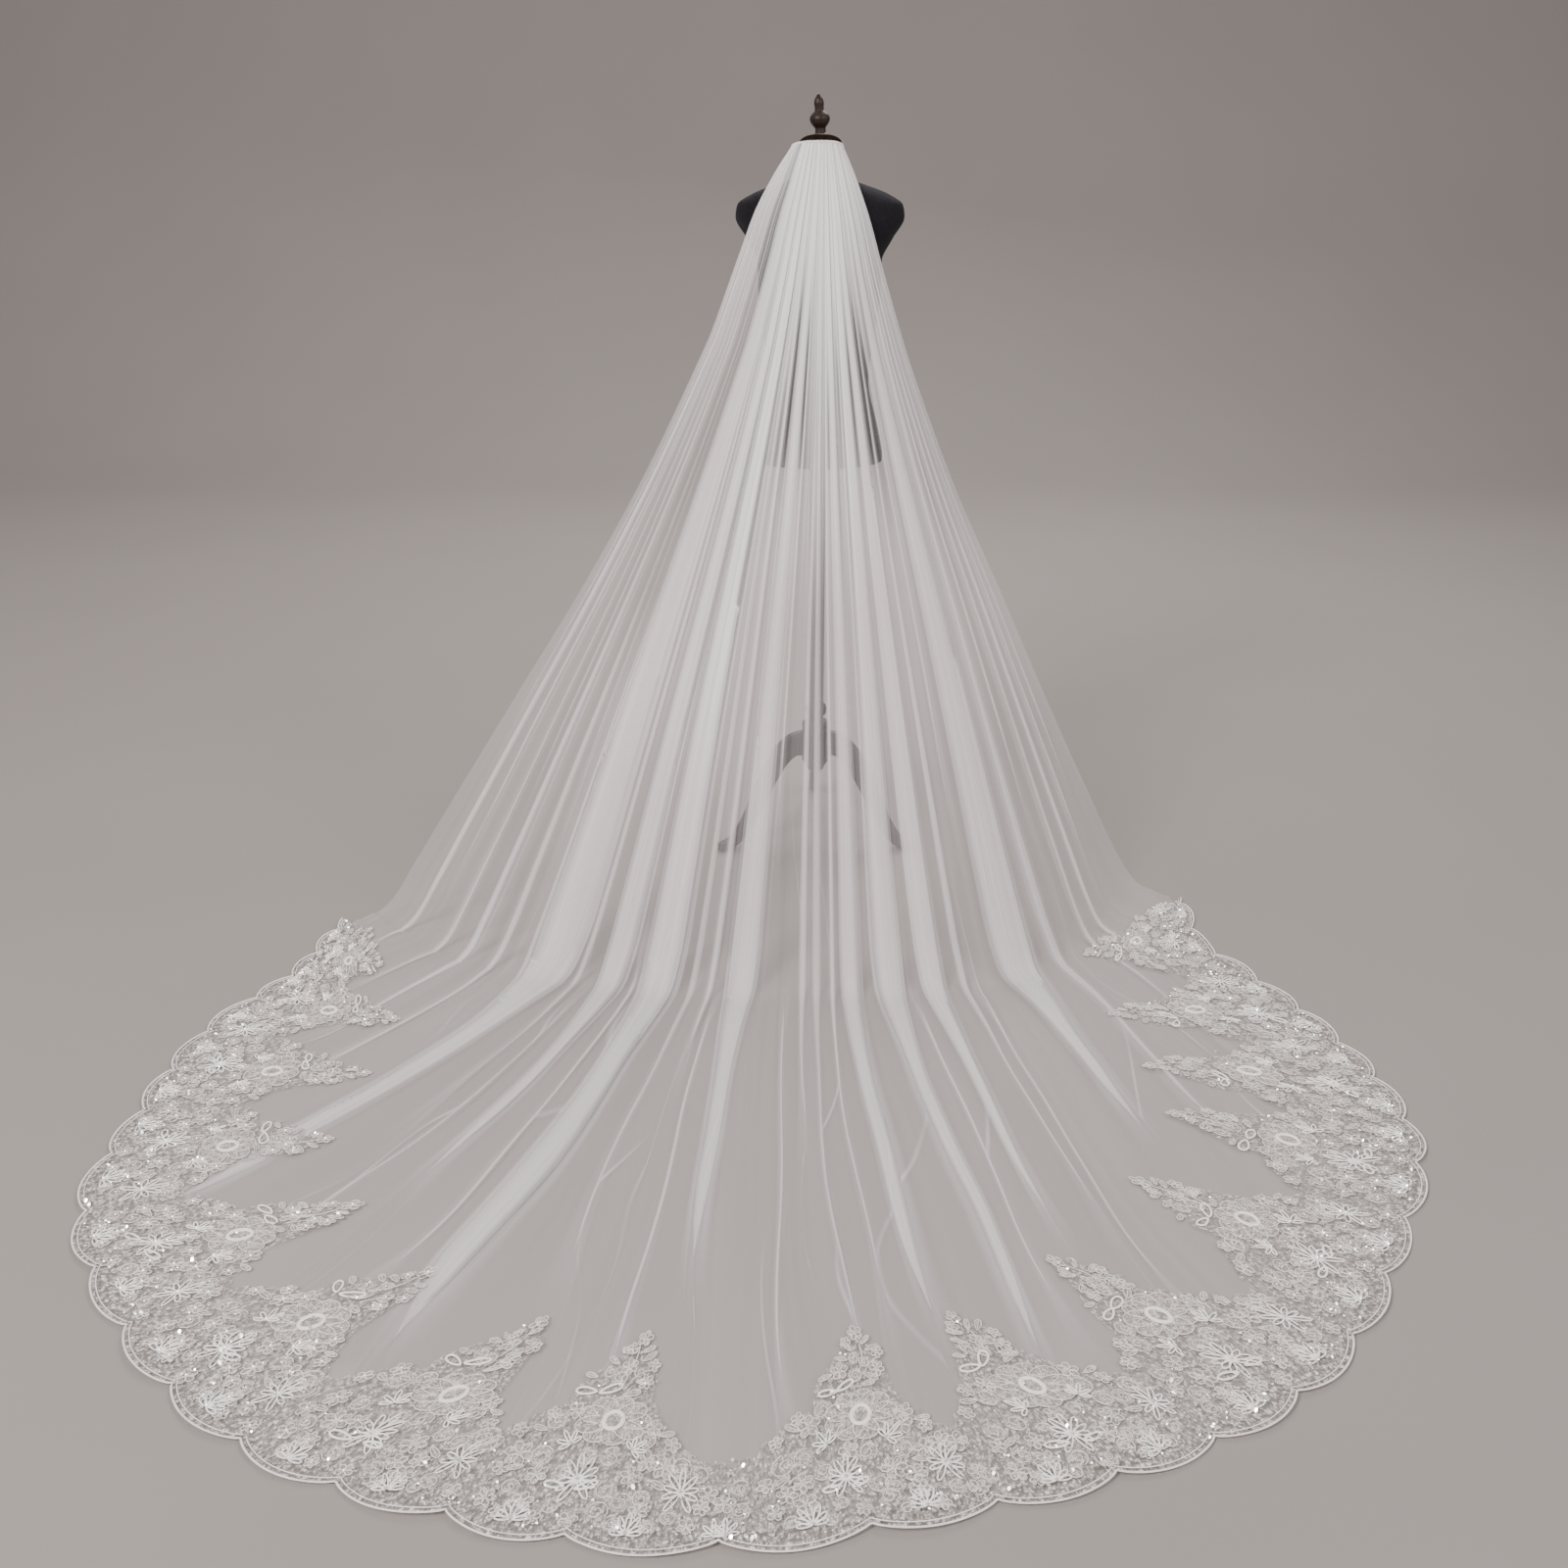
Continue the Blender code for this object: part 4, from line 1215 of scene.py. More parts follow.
class Sprig(NamedTuple):
    """One stitch of a motif: its place, size, turn in degrees and count."""

    stitch: Stitch
    x: float
    depth: float
    size: float
    turn: float
    count: int


class MotifRow(NamedTuple):
    """Where a motif sits on the hem, how its tip leans and how deep it is."""

    centre: float
    lean: float
    deep: float


MOTIFS = table(MotifRow,
    (0.105, -0.02, 0.48), (0.318, 0, 0.9), (0.6, 0.01, 1.06), (0.87, 0.05, 1.08), (1.193, 0.05, 1.12),
    (1.522, 0.068, 1.12), (1.862, 0.074, 1.05), (2.196, -0.014, 1.03), (2.602, 0.056, 0.98),
    (2.954, -0.058, 1), (3.28, -0.045, 1.17), (3.617, 0.06, 1.18), (3.944, 0.078, 1.19),
    (4.205, 0.074, 1.19), (4.495, 0.085, 1.05), (4.86, 0.07, 0.88),
)
CENTRES = column(MOTIFS, "centre")
SCALLOP_MARKS = (*CENTRES[:-3], 4.215, 4.475, 4.735)  # the cusp between each motif's two scallops
FLOWER, LEAF, LOOP, RING, SCROLL, FAN, STEM = Stitch
SPRAY = table(Sprig,  # the tapering upper part of a motif, from its tip down
    (FLOWER, 0, 0.356, 0.016, 20, 5), (FLOWER, -0.018, 0.336, 0.011, 50, 5),
    (LEAF, 0.01, 0.33, 0.026, 28, 1), (LEAF, -0.012, 0.318, 0.028, 150, 1),
    (LEAF, 0.016, 0.314, 0.03, 12, 1), (FLOWER, 0.044, 0.306, 0.012, 0, 5),
    (SCROLL, -0.006, 0.3, 0.015, 40, 3), (SCROLL, 0.02, 0.293, 0.013, 160, 3),
    (LEAF, -0.026, 0.302, 0.026, 165, 1), (SCROLL, -0.038, 0.284, 0.015, 100, 3),
    (SCROLL, -0.01, 0.273, 0.017, 220, 3), (FLOWER, 0.036, 0.277, 0.014, 30, 6),
    (LEAF, -0.055, 0.27, 0.027, 185, 1), (LEAF, 0.018, 0.268, 0.03, -12, 1),
    (STEM, 0, 0.345, 0.075, 268, 1), (LOOP, -0.044, 0.247, 0.04, 176, 1),
    (LOOP, -0.04, 0.246, 0.038, 24, 1), (LEAF, 0.006, 0.246, 0.028, 10, 1),
    (STEM, 0.04, 0.3, 0.05, 235, -1),
)
BLOOM = table(Sprig,  # the wide lobed flower with its ring, and what is beside it
    (RING, 0.006, 0.196, 0.06, 15, 9), (SCROLL, -0.066, 0.208, 0.018, 30, 3),
    (SCROLL, -0.086, 0.188, 0.019, 150, 3), (FLOWER, -0.108, 0.2, 0.013, 10, 5),
    (FLOWER, 0.082, 0.192, 0.015, 40, 5), (SCROLL, 0.074, 0.168, 0.017, 300, 3),
    (LEAF, 0.094, 0.176, 0.028, 8, 1), (LEAF, -0.1, 0.176, 0.028, 172, 1),
    (FLOWER, -0.14, 0.164, 0.014, 25, 5), (FLOWER, 0.116, 0.158, 0.012, 60, 5),
    (FAN, 0.052, 0.148, 0.03, 40, 5), (FAN, -0.048, 0.15, 0.028, 130, 5),
)
BASE = table(Sprig,  # the dense band along the hem
    (FAN, -0.02, 0.088, 0.042, 90, 11), (FAN, 0.134, 0.084, 0.038, 90, 9),
    (LOOP, -0.034, 0.076, 0.032, 186, 1), (LOOP, -0.01, 0.074, 0.03, 20, 1),
    (SCROLL, 0.134, 0.126, 0.021, 60, 4), (SCROLL, 0.16, 0.118, 0.019, 200, 3),
    (SCROLL, 0.106, 0.118, 0.019, 320, 3), (SCROLL, -0.086, 0.128, 0.019, 80, 3),
    (SCROLL, -0.12, 0.122, 0.02, 210, 3), (SCROLL, 0.02, 0.13, 0.017, 15, 3),
    (SCROLL, -0.016, 0.132, 0.016, 190, 3), (SCROLL, 0.078, 0.126, 0.018, 100, 3),
    (FLOWER, -0.08, 0.092, 0.018, 12, 6), (FLOWER, 0.056, 0.096, 0.018, 40, 6),
    (FLOWER, -0.138, 0.09, 0.014, 0, 5), (LEAF, -0.104, 0.102, 0.03, 200, 1),
    (LEAF, 0.086, 0.1, 0.03, -20, 1), (SCROLL, -0.112, 0.072, 0.016, 10, 3),
    (SCROLL, -0.05, 0.104, 0.016, 250, 3), (SCROLL, 0.028, 0.072, 0.016, 120, 3),
    (SCROLL, 0.084, 0.07, 0.016, 300, 3), (SCROLL, 0.052, 0.06, 0.014, 60, 3),
    (FLOWER, -0.079, 0.05, 0.017, 30, 6), (FLOWER, 0.079, 0.048, 0.017, 0, 6),
    (FAN, -0.079, 0.018, 0.034, 90, 7), (FAN, 0.079, 0.018, 0.034, 90, 7),
    (SCROLL, -0.128, 0.046, 0.015, 70, 3), (SCROLL, -0.034, 0.046, 0.015, 200, 3),
    (SCROLL, 0.034, 0.042, 0.015, 340, 3), (SCROLL, 0.126, 0.046, 0.015, 110, 3),
    (FLOWER, 0, 0.03, 0.013, 0, 5), (FLOWER, 0.158, 0.032, 0.013, 30, 5),
    (SCROLL, -0.104, 0.026, 0.012, 10, 3), (SCROLL, -0.054, 0.026, 0.012, 170, 3),
    (SCROLL, 0.054, 0.026, 0.012, 10, 3), (SCROLL, 0.104, 0.026, 0.012, 170, 3),
    (SCROLL, -0.178, 0.09, 0.017, 40, 3), (SCROLL, 0.18, 0.088, 0.017, 140, 3),
    (FLOWER, -0.198, 0.064, 0.016, 20, 5), (FLOWER, 0.2, 0.06, 0.016, 0, 5),
    (SCROLL, -0.174, 0.05, 0.014, 260, 3), (SCROLL, 0.172, 0.06, 0.014, 300, 3),
    (FAN, -0.196, 0.02, 0.026, 90, 5), (FAN, 0.196, 0.018, 0.026, 90, 5),
)
LOBES = (  # x, depth and radius of the rounds that shape the border's inner edge
    (0, 0.352, 0.016), (-0.01, 0.33, 0.02), (0.02, 0.31, 0.024), (-0.026, 0.296, 0.024),
    (0.03, 0.282, 0.026), (-0.044, 0.272, 0.026), (-0.002, 0.29, 0.028), (-0.066, 0.248, 0.022),
    (0.022, 0.25, 0.026), (-0.02, 0.248, 0.026), (0.046, 0.212, 0.032), (0, 0.214, 0.04),
    (-0.05, 0.206, 0.032), (0.078, 0.186, 0.024), (-0.088, 0.192, 0.024), (-0.118, 0.176, 0.022),
    (0.104, 0.158, 0.024), (-0.144, 0.152, 0.022), (0.134, 0.132, 0.026), (0.158, 0.118, 0.024),
    (-0.168, 0.118, 0.03), (0.186, 0.112, 0.03),
)


class Cord(NamedTuple):
    """A run of cord on the flat motif: its points, width and whether it closes."""

    path: Array
    width: float
    closed: bool
    anchor: float


class Fill(NamedTuple):
    """A filled shape on the flat motif: its outline and its sprig's x."""

    outline: Array
    anchor: float


class Bead(NamedTuple):
    """A bead on the flat motif."""

    x: float
    depth: float
    radius: float


class Section(NamedTuple):
    """One length of the lace: where it starts and ends on the hem, and its motifs."""

    low: float
    high: float
    motifs: range

    def lengths(self, step: float) -> Array:
        """Return hem lengths from its start to its end, about a step apart."""
        return np.linspace(self.low, self.high, int((self.high - self.low) / step))


BALL = np.array(((0, 0, 1), (1, 0, 0), (0, 1, 0), (-1, 0, 0), (0, -1, 0), (0, 0, -1)), float)
BALL_SIDES = np.array(
    ((0, 1, 2), (0, 2, 3), (0, 3, 4), (0, 4, 1), (5, 2, 1), (5, 3, 2), (5, 4, 3), (5, 1, 4))
)


@dataclass
class Embroidery:
    """Everything that one motif is stitched from, on the flat."""

    cords: list[Cord]
    fills: list[Fill]
    beads: list[Bead]


@dataclass(frozen=True)
class Motif:
    """One repeat of the border, drawn flat: x along the hem, y in from it.

    No two repeats are quite alike: each has its own small random shifts.
    Petals, leaves and loops have their width as a share of their length.
    """

    number: int
    fine: float = 0.0019
    bold: float = 0.0036
    hair: float = 0.0012
    petal: float = 1.42  # of a flower, where 1 fills the round
    leaf: float = 0.42
    loop: float = 0.4
    blade: float = 0.24
    blade_cord: float = 1.3
    rib: Pair = (0.1, 0.9)
    rib_cord: float = 0.8
    lobe: float = 0.8
    squash: Pair = (1.12, 0.78)
    vein: Pair = (0.45, 0.8)
    ring_radius: float = 0.0165
    ring_cord: float = 0.0066
    curl: float = 0.85  # share of its radius that a scroll loses
    half_fan: float = 170.0
    whole_fan: float = 300.0
    few: int = 8  # a fan of fewer loops is a half one
    blunt: float = 0.18  # share by which a fan's side loops are shorter
    bow: float = 0.14
    flower_bead: float = 0.0028
    scroll_bead: float = 0.0019
    fan_bead: float = 0.0032
    shift: float = 0.0028
    sizes: Pair = (0.84, 1.16)
    turning: float = 16.0
    spun: float = 3.0  # how many times as far a scroll turns
    calm_ring: float = 0.3  # share of the change in size that a ring takes
    calm: Pair = (0.5, 0.4)  # shares of the changes in size and turn that stems and fans take
    bloomed: Pair = (0.34, 0.12)  # chances that a scroll is a flower, and one of 6 petals

    @staticmethod
    def leaf_loop(x: float, y: float, length: float, width: float, turn: float, count: int) -> Array:
        """Draw a closed loop that leaves a point, widens and comes back.

        The distance out is length * (1 - cos t) / 2 and the half width is
        width / 2 * sin t * sin(t / 2) ** 0.6, for t round a full turn.

        Args:
            x: Where it starts along the hem.
            y: Where it starts in from the hem.
            length: How far it reaches.
            width: How wide it is.
            turn: Its direction in degrees.
            count: How many points it has.

        Returns:
            The points.
        """
        t = circle(count)
        out = length * (1 - np.cos(t)) / 2
        off = width / 2 * np.sin(t) * np.abs(np.sin(t / 2)) ** 0.6
        turn = math.radians(turn)
        cos, sin = math.cos(turn), math.sin(turn)
        return stacked(x + out * cos - off * sin, y + out * sin + off * cos)

    @staticmethod
    def ring(x: float, y: float, radius: float, count: int) -> Array:
        """Return a circle."""
        return np.array((x, y)) + radius * around(circle(count))

    def add(self, sprig: Sprig, sewn: Embroidery) -> None:
        """Stitch one sprig.

        Args:
            sprig: What to stitch, and where.
            sewn: The motif so far, which is added to.
        """
        kind, x, y, size, turn, count = sprig
        here, way = np.array((x, y)), math.radians(turn)
        if kind is FLOWER:
            width = self.petal * size * math.sin(math.pi / count)
            for k in range(count):
                petal = self.leaf_loop(x, y, size, width, turn + 360 * k / count, 10)
                sewn.cords.append(Cord(petal, self.fine, True, x))
                sewn.fills.append(Fill(petal, x))
            sewn.beads.append(Bead(x, y, self.flower_bead))
        elif kind is LEAF:
            leaf = self.leaf_loop(x, y, size, self.leaf * size, turn, 12)
            sewn.cords.append(Cord(leaf, self.fine, True, x))
            sewn.fills.append(Fill(leaf, x))
            rib = here + np.linspace(*self.rib, 4)[:, None] * size * around(way)
            sewn.cords.append(Cord(rib, self.rib_cord * self.fine, False, x))
        elif kind is LOOP:
            loop = self.leaf_loop(x, y, size, self.loop * size, turn, 16)
            sewn.cords.append(Cord(loop, self.bold, True, x))
        elif kind is RING:
            self.add_ring(sprig, sewn)
        elif kind is SCROLL:
            t = np.linspace(0, 1, 5 * count)
            path = here + (size * (1 - self.curl * t))[:, None] * around(way + np.pi * count * t)
            sewn.cords.append(Cord(path, self.fine, False, x))
            sewn.fills.append(Fill(self.ring(x, y, size, 12), x))
            sewn.beads.append(Bead(x, y, self.scroll_bead))
        elif kind is FAN:
            fan = self.half_fan if count < self.few else self.whole_fan
            for k in range(count):
                side = fan * (k / (count - 1) - 0.5)
                long = size * (1 - self.blunt + self.blunt * math.cos(math.radians(2 * side)))
                loop = self.leaf_loop(x, y, long, self.blade * size, turn + side, 10)
                sewn.cords.append(Cord(loop, self.blade_cord * self.fine, True, x))
            sewn.beads.append(Bead(x, y, self.fan_bead))
        else:
            t = np.linspace(0, 1, 9)[:, None]
            bow = self.bow * count * size * np.sin(np.pi * t) * around(way + np.pi / 2)
            path = here + size * t * around(way) + bow
            sewn.cords.append(Cord(path, self.fine, False, x))

    def add_ring(self, sprig: Sprig, sewn: Embroidery) -> None:
        """Stitch a thick ring on wide, veined, lobed petals.

        Args:
            sprig: Where to stitch it.
            sewn: The motif so far, which is added to.
        """
        _, x, y, size, turn, count = sprig
        here, squash = np.array((x, y)), np.array(self.squash)
        ring = self.ring(x, y, self.ring_radius, 22)
        sewn.cords.append(Cord(ring, self.ring_cord, True, x))
        for k in range(count):
            way = turn + 360 * k / count
            petal = here + self.leaf_loop(0.0, 0.0, size, self.lobe * size, way, 16) * squash
            sewn.fills.append(Fill(petal, x))
            sewn.cords.append(Cord(petal[3:14], self.fine, False, x))
            vein = np.linspace(*self.vein, 4)[:, None] * size * around(np.radians(way))
            sewn.cords.append(Cord(here + vein * squash, self.hair, False, x))

    def stitch(self) -> Embroidery:
        """Stitch the whole motif.

        Returns:
            Its cords, fills and beads.
        """
        random = np.random.default_rng(SEED + 31 * self.number)
        sewn = Embroidery([], [], [])
        for sprig in (*SPRAY, *BLOOM, *BASE):
            self.add(self.loosen(sprig, random), sewn)
        return sewn

    def loosen(self, sprig: Sprig, random: np.random.Generator) -> Sprig:
        """Move, turn and size a sprig a little; some change their kind.

        Args:
            sprig: The sprig as it is drawn.
            random: Source of the shifts.

        Returns:
            The sprig as it is sewn.
        """
        x, deep = random.normal(0, self.shift, 2)
        size, turn = random.uniform(*self.sizes), random.normal(0, self.turning)
        kind, count = sprig.stitch, sprig.count
        chance = random.random()
        if kind is SCROLL:
            turn = self.spun * turn
            if chance < self.bloomed[0]:
                kind, count = FLOWER, 5 + int(chance < self.bloomed[1])
        elif kind is RING:
            size = 1 + self.calm_ring * (size - 1)
        elif kind in (STEM, FAN):
            size, turn = 1 + self.calm[0] * (size - 1), self.calm[1] * turn
        return Sprig(kind, sprig.x + x, sprig.depth + deep, sprig.size * size, sprig.turn + turn, count)


@dataclass(frozen=True)
class Border:
    """Where the lace lies: metres along the hem, and depth in from it."""

    drape: Drape
    floor: Floor
    heights: Array
    start: float = 149.0
    end: float = 392.0
    measured: Pair = (140.0, 404.0)  # hem angles from and to
    measures: int = 2600
    joins: tuple[float, ...] = (-0.043, 1.0315, 2.399, 3.7805, 5.0)
    groups: tuple[int, ...] = (0, 4, 8, 12, 16)
    gap: float = 0.004
    scallops: int = 2
    scallop_rise: float = 0.024
    scallop_middle: float = 0.4
    scallop_power: float = 0.7
    before: float = 0.105  # hem length between the last cusps before the lace
    after: float = 0.12
    lift: float = 0.0016
    steep: Pair = (0.002, 0.03)  # heights over which the net lifts off the floor
    steep_lift: float = 0.004
    lean_from: float = 0.1
    lean_over: float = 0.256
    wander: float = 0.003
    along_wave: Pair = (2.7, 18.0)  # turns over the motif's number, and over the place on it
    deep_wave: Pair = (1.9, 15.0)

    def table(self) -> tuple[Array, Array]:
        """Measure the hem, from 0 where the lace starts.

        Returns:
            Angles, and the hem's length to each.
        """
        angles = np.linspace(*self.measured, self.measures)
        steps = np.linalg.norm(np.diff(self.drape.hem(angles), axis=0), axis=-1)
        lengths = np.append(0, np.cumsum(steps))
        return angles, lengths - np.interp(self.start, angles, lengths)

    def deep(self, length: Array) -> Array:
        """Return how deep the border is here, as a share of the flat motif."""
        return read(MOTIFS, "deep", length)

    def scallop(self, length: Array) -> Array:
        """Work out the scalloped edge: |sine| ** 0.7 of two waves a motif.

        Args:
            length: Places along the hem.

        Returns:
            Depths in from the hem.
        """
        angles, lengths = self.table()
        last = float(np.interp(self.end, angles, lengths))
        count = len(SCALLOP_MARKS)
        marks = (-self.before, 0.0, *SCALLOP_MARKS, last, last + self.after, last + 2 * self.after)
        places = (-0.5, 0, *np.arange(0.5, count), count, count + 0.5, count + 1)
        turns = np.pi * self.scallops * np.interp(length, marks, places)
        return self.scallop_rise * (self.scallop_middle - np.abs(np.sin(turns)) ** self.scallop_power)

    def plan(self, length: Array, depth: Array) -> Array:
        """Return the place in the plan of a place on the border."""
        angles, lengths = self.table()
        return self.drape.hem(np.interp(length, lengths, angles), depth)

    def leaned(self, motif: int, x: Array | float, depth: Array | float) -> Array:
        """Return the hem length of flat motif points, leaned towards the tip."""
        share = np.clip((depth - self.lean_from) / self.lean_over, 0, 1)
        return CENTRES[motif] + x + MOTIFS[motif].lean * share

    def room(self, motif: int, anchor: float) -> bool:
        """Tell whether a sprig this far from its motif's middle is still on its own side."""
        edges = [self.joins[0], *((a + b) / 2 for a, b in zip(CENTRES, CENTRES[1:])), self.joins[-1]]
        return edges[motif] + self.gap < CENTRES[motif] + anchor < edges[motif + 1] - self.gap

    def lie(self, plan: Array, lift: Array | float) -> Array:
        """Lay places of the plan on the net.

        The net's height is read between the corners of the floor's square grid.

        Args:
            plan: Places in the plan.
            lift: Metres above the net.

        Returns:
            Places.
        """
        h = self.heights
        cell = (plan - self.floor.low) / self.floor.step
        i, j = (np.clip(np.floor(cell[..., k]).astype(int), 0, h.shape[k] - 2) for k in (0, 1))
        s, t = np.clip(cell[..., 0] - i, 0, 1), np.clip(cell[..., 1] - j, 0, 1)
        near = h[i, j] * (1 - s) * (1 - t) + h[i + 1, j] * s * (1 - t)
        z = near + h[i, j + 1] * (1 - s) * t + h[i + 1, j + 1] * s * t
        z = z + self.floor.ripple(plan) + self.lift + self.steep_lift * ease(*self.steep, z) + lift
        return np.concatenate((plan, z[..., None]), axis=-1)

    def set_out(self, flat: Array, motif: int) -> Array:
        """Lay flat motif points along the hem, each motif a little uneven.

        Args:
            flat: Points along the motif and in from the hem.
            motif: Number of the motif.

        Returns:
            Places in the plan.
        """
        x, depth = flat[..., 0], flat[..., 1]
        along, deep = self.along_wave, self.deep_wave
        length = self.wander * np.sin(along[0] * motif + along[1] * depth) + self.leaned(motif, x, depth)
        depth = (depth + self.wander * np.sin(deep[0] * motif + deep[1] * x)) * self.deep(length)
        return self.plan(length, depth)


@dataclass(frozen=True)
class Lace:
    """The border: a scalloped embroidered ground, cords, beads and sequins."""

    border: Border
    sewn: tuple[Embroidery, ...]
    flat_depth: float = 0.42
    flat_share: float = 0.5
    ground_step: float = 0.0052
    ground_rows: int = 15
    least_depth: float = 0.1
    ground_cover: float = 0.6
    hem_cover: float = 0.12  # more of it near the hem
    hem_band: Pair = (0.02, 0.16)
    petal_cover: float = 0.78
    petal_lift: float = 0.0006
    petal_layer: float = 0.0004
    petal_layers: int = 4
    cord_lift: float = 0.0016
    cord_height: float = 0.55  # of its width
    thin: float = 0.0022  # a cord that is thinner than this is dimmed
    dimmed: float = 0.34
    hem_step: float = 0.004
    hem_lift: float = 0.0012
    hem_runs: tuple[Pair, ...] = ((0.0, 0.0032), (0.0085, 0.0018))  # inset and width
    bead_lift: float = 0.0036
    sequin_lift: float = 0.0034
    loose: int = 620  # sequins in a metre of hem
    loose_depth: Pair = (0.005, 0.15)
    loose_spread: Pair = (1.0, 1.9)
    sprayed: int = 44  # sequins up a motif's spray
    spray_depth: Pair = (0.14, 0.35)
    spray_tip: float = 0.4
    sequin_size: Pair = (0.0012, 0.002)
    size_spread: Pair = (1.2, 2.2)
    sequin_lean: float = 0.42
    sequin_rise: float = 0.6

    def ground(self, section: Section) -> tuple[Array, Array, Array, Ints]:
        """Lay out the ground of one section as a grid.

        It runs from the scalloped edge in to the outline of the lobes: the
        deepest point over the hem of the rounds in LOBES, on every motif.

        Args:
            section: The length of lace.

        Returns:
            Points, flat coordinates, cover and faces.
        """
        b = self.border
        length = section.lengths(self.ground_step)
        inner = np.full_like(length, self.least_depth)
        for motif in range(len(MOTIFS)):
            for x, depth, radius in LOBES:
                off = (length - b.leaned(motif, x, depth)) / radius
                arc = depth + radius * np.sqrt(np.clip(1 - off**2, 0, 1))
                inner = np.where(np.abs(off) < 1, np.maximum(inner, arc), inner)
        edge = b.scallop(length)
        t = np.linspace(1.0, 0.0, self.ground_rows)[:, None]
        depth = edge + (inner * b.deep(length) - edge) * t
        length = np.broadcast_to(length, depth.shape)
        cover = self.ground_cover + self.hem_cover * (1 - ease(*self.hem_band, depth))
        points = b.lie(b.plan(length, depth), 0.0)
        return points, stacked(length, depth), cover, grid_faces(*depth.shape)

    def petals(self, motifs: range) -> Surface:
        """Fill the shapes of some motifs, each with a fan of triangles.

        Args:
            motifs: Numbers of the motifs.

        Returns:
            The surface.
        """
        b = self.border
        parts = []
        for motif in motifs:
            shapes = [fill.outline for fill in self.sewn[motif].fills if b.room(motif, fill.anchor)]
            for order, outline in enumerate(shapes):
                whole = np.concatenate((outline.mean(axis=0, keepdims=True), outline))
                lift = self.petal_lift + self.petal_layer * (order % self.petal_layers)
                rim = np.arange(len(outline))
                fan = stacked(0, 1 + rim, 1 + (rim + 1) % len(rim))
                flat = whole + (CENTRES[motif], 0.0)
                parts.append((b.lie(b.set_out(whole, motif), lift), flat, [fan]))
        return joined(parts)

    def cord_mesh(self, motifs: range) -> tuple[Surface, Array]:
        """Make the cords of some motifs.

        Args:
            motifs: Numbers of the motifs.

        Returns:
            The surface, and how dim each point is.
        """
        b = self.border
        runs = [(cord, motif) for motif in motifs for cord in self.sewn[motif].cords
                if b.room(motif, cord.anchor)]
        parts = [self.ridge(b.set_out(cord.path, motif), cord.width, self.cord_lift, cord.closed)
                 for cord, motif in runs]
        dim = [self.dimmed if cord.width < self.thin else 0.0 for cord, _ in runs]
        return joined(parts), np.repeat(dim, [len(part[0]) for part in parts])

    def ridge(self, path: Array, width: float, lift: float, closed: bool = False) -> Surface:
        """Make one cord: a low ridge of three points, right, crest and left.

        Args:
            path: Places in the plan.
            width: Width of the cord.
            lift: Metres above the net.
            closed: Whether its end meets its start.

        Returns:
            The surface; its flat coordinates run along and across the cord.
        """
        if closed:
            path = np.concatenate((path, path[:1]))
        way = np.gradient(path, axis=0)
        if closed:
            way[0] = way[-1] = way[0] + way[-1]
        way = unit(way)
        left = stacked(-way[:, 1], way[:, 0])
        length = np.cumsum(np.linalg.norm(np.diff(path, axis=0, prepend=path[:1]), axis=-1))
        plan = path[:, None] + left[:, None] * (np.array((-0.5, 0.0, 0.5)) * width)[:, None]
        high = np.array((0.0, self.cord_height, 0.0)) * width + lift
        points = self.border.lie(plan, np.broadcast_to(high, plan.shape[:2])).reshape(-1, 3)
        flat = stacked(length[:, None], np.array((0.0, 0.5, 1.0)) * width).reshape(-1, 2)
        return points, flat, [grid_faces(len(path), 3)]

    def hem_cords(self, section: Section) -> Surface:
        """Return the two cords along the scallops of one section."""
        b, length = self.border, section.lengths(self.hem_step)
        return joined([self.ridge(b.plan(length, b.scallop(length) + inset), width, self.hem_lift)
                       for inset, width in self.hem_runs])

    def sequin_spots(self, section: Section, random: np.random.Generator) -> Array:
        """Scatter loose sequins, thickest near the hem and up the sprays.

        Args:
            section: The length of lace.
            random: Source of the places.

        Returns:
            Their places.
        """
        b = self.border
        low, high, motifs = section
        count, spray = int(self.loose * (high - low)), self.sprayed * len(motifs)
        length = random.uniform(low, high, count)
        depth = self.loose_depth[0] + self.loose_depth[1] * random.beta(*self.loose_spread, count)
        motif = random.integers(motifs[0], motifs[-1] + 1, spray)
        tall = random.uniform(*self.spray_depth, spray)
        x = random.uniform(-0.5, 0.5, spray) * (self.spray_tip - tall)
        lengths = np.array([b.leaned(m, off, deep) for m, off, deep in zip(motif, x, tall)])
        length = np.concatenate((length, lengths))
        depth = np.concatenate((depth, tall)) * b.deep(length)
        return b.lie(b.plan(length, depth), self.sequin_lift)

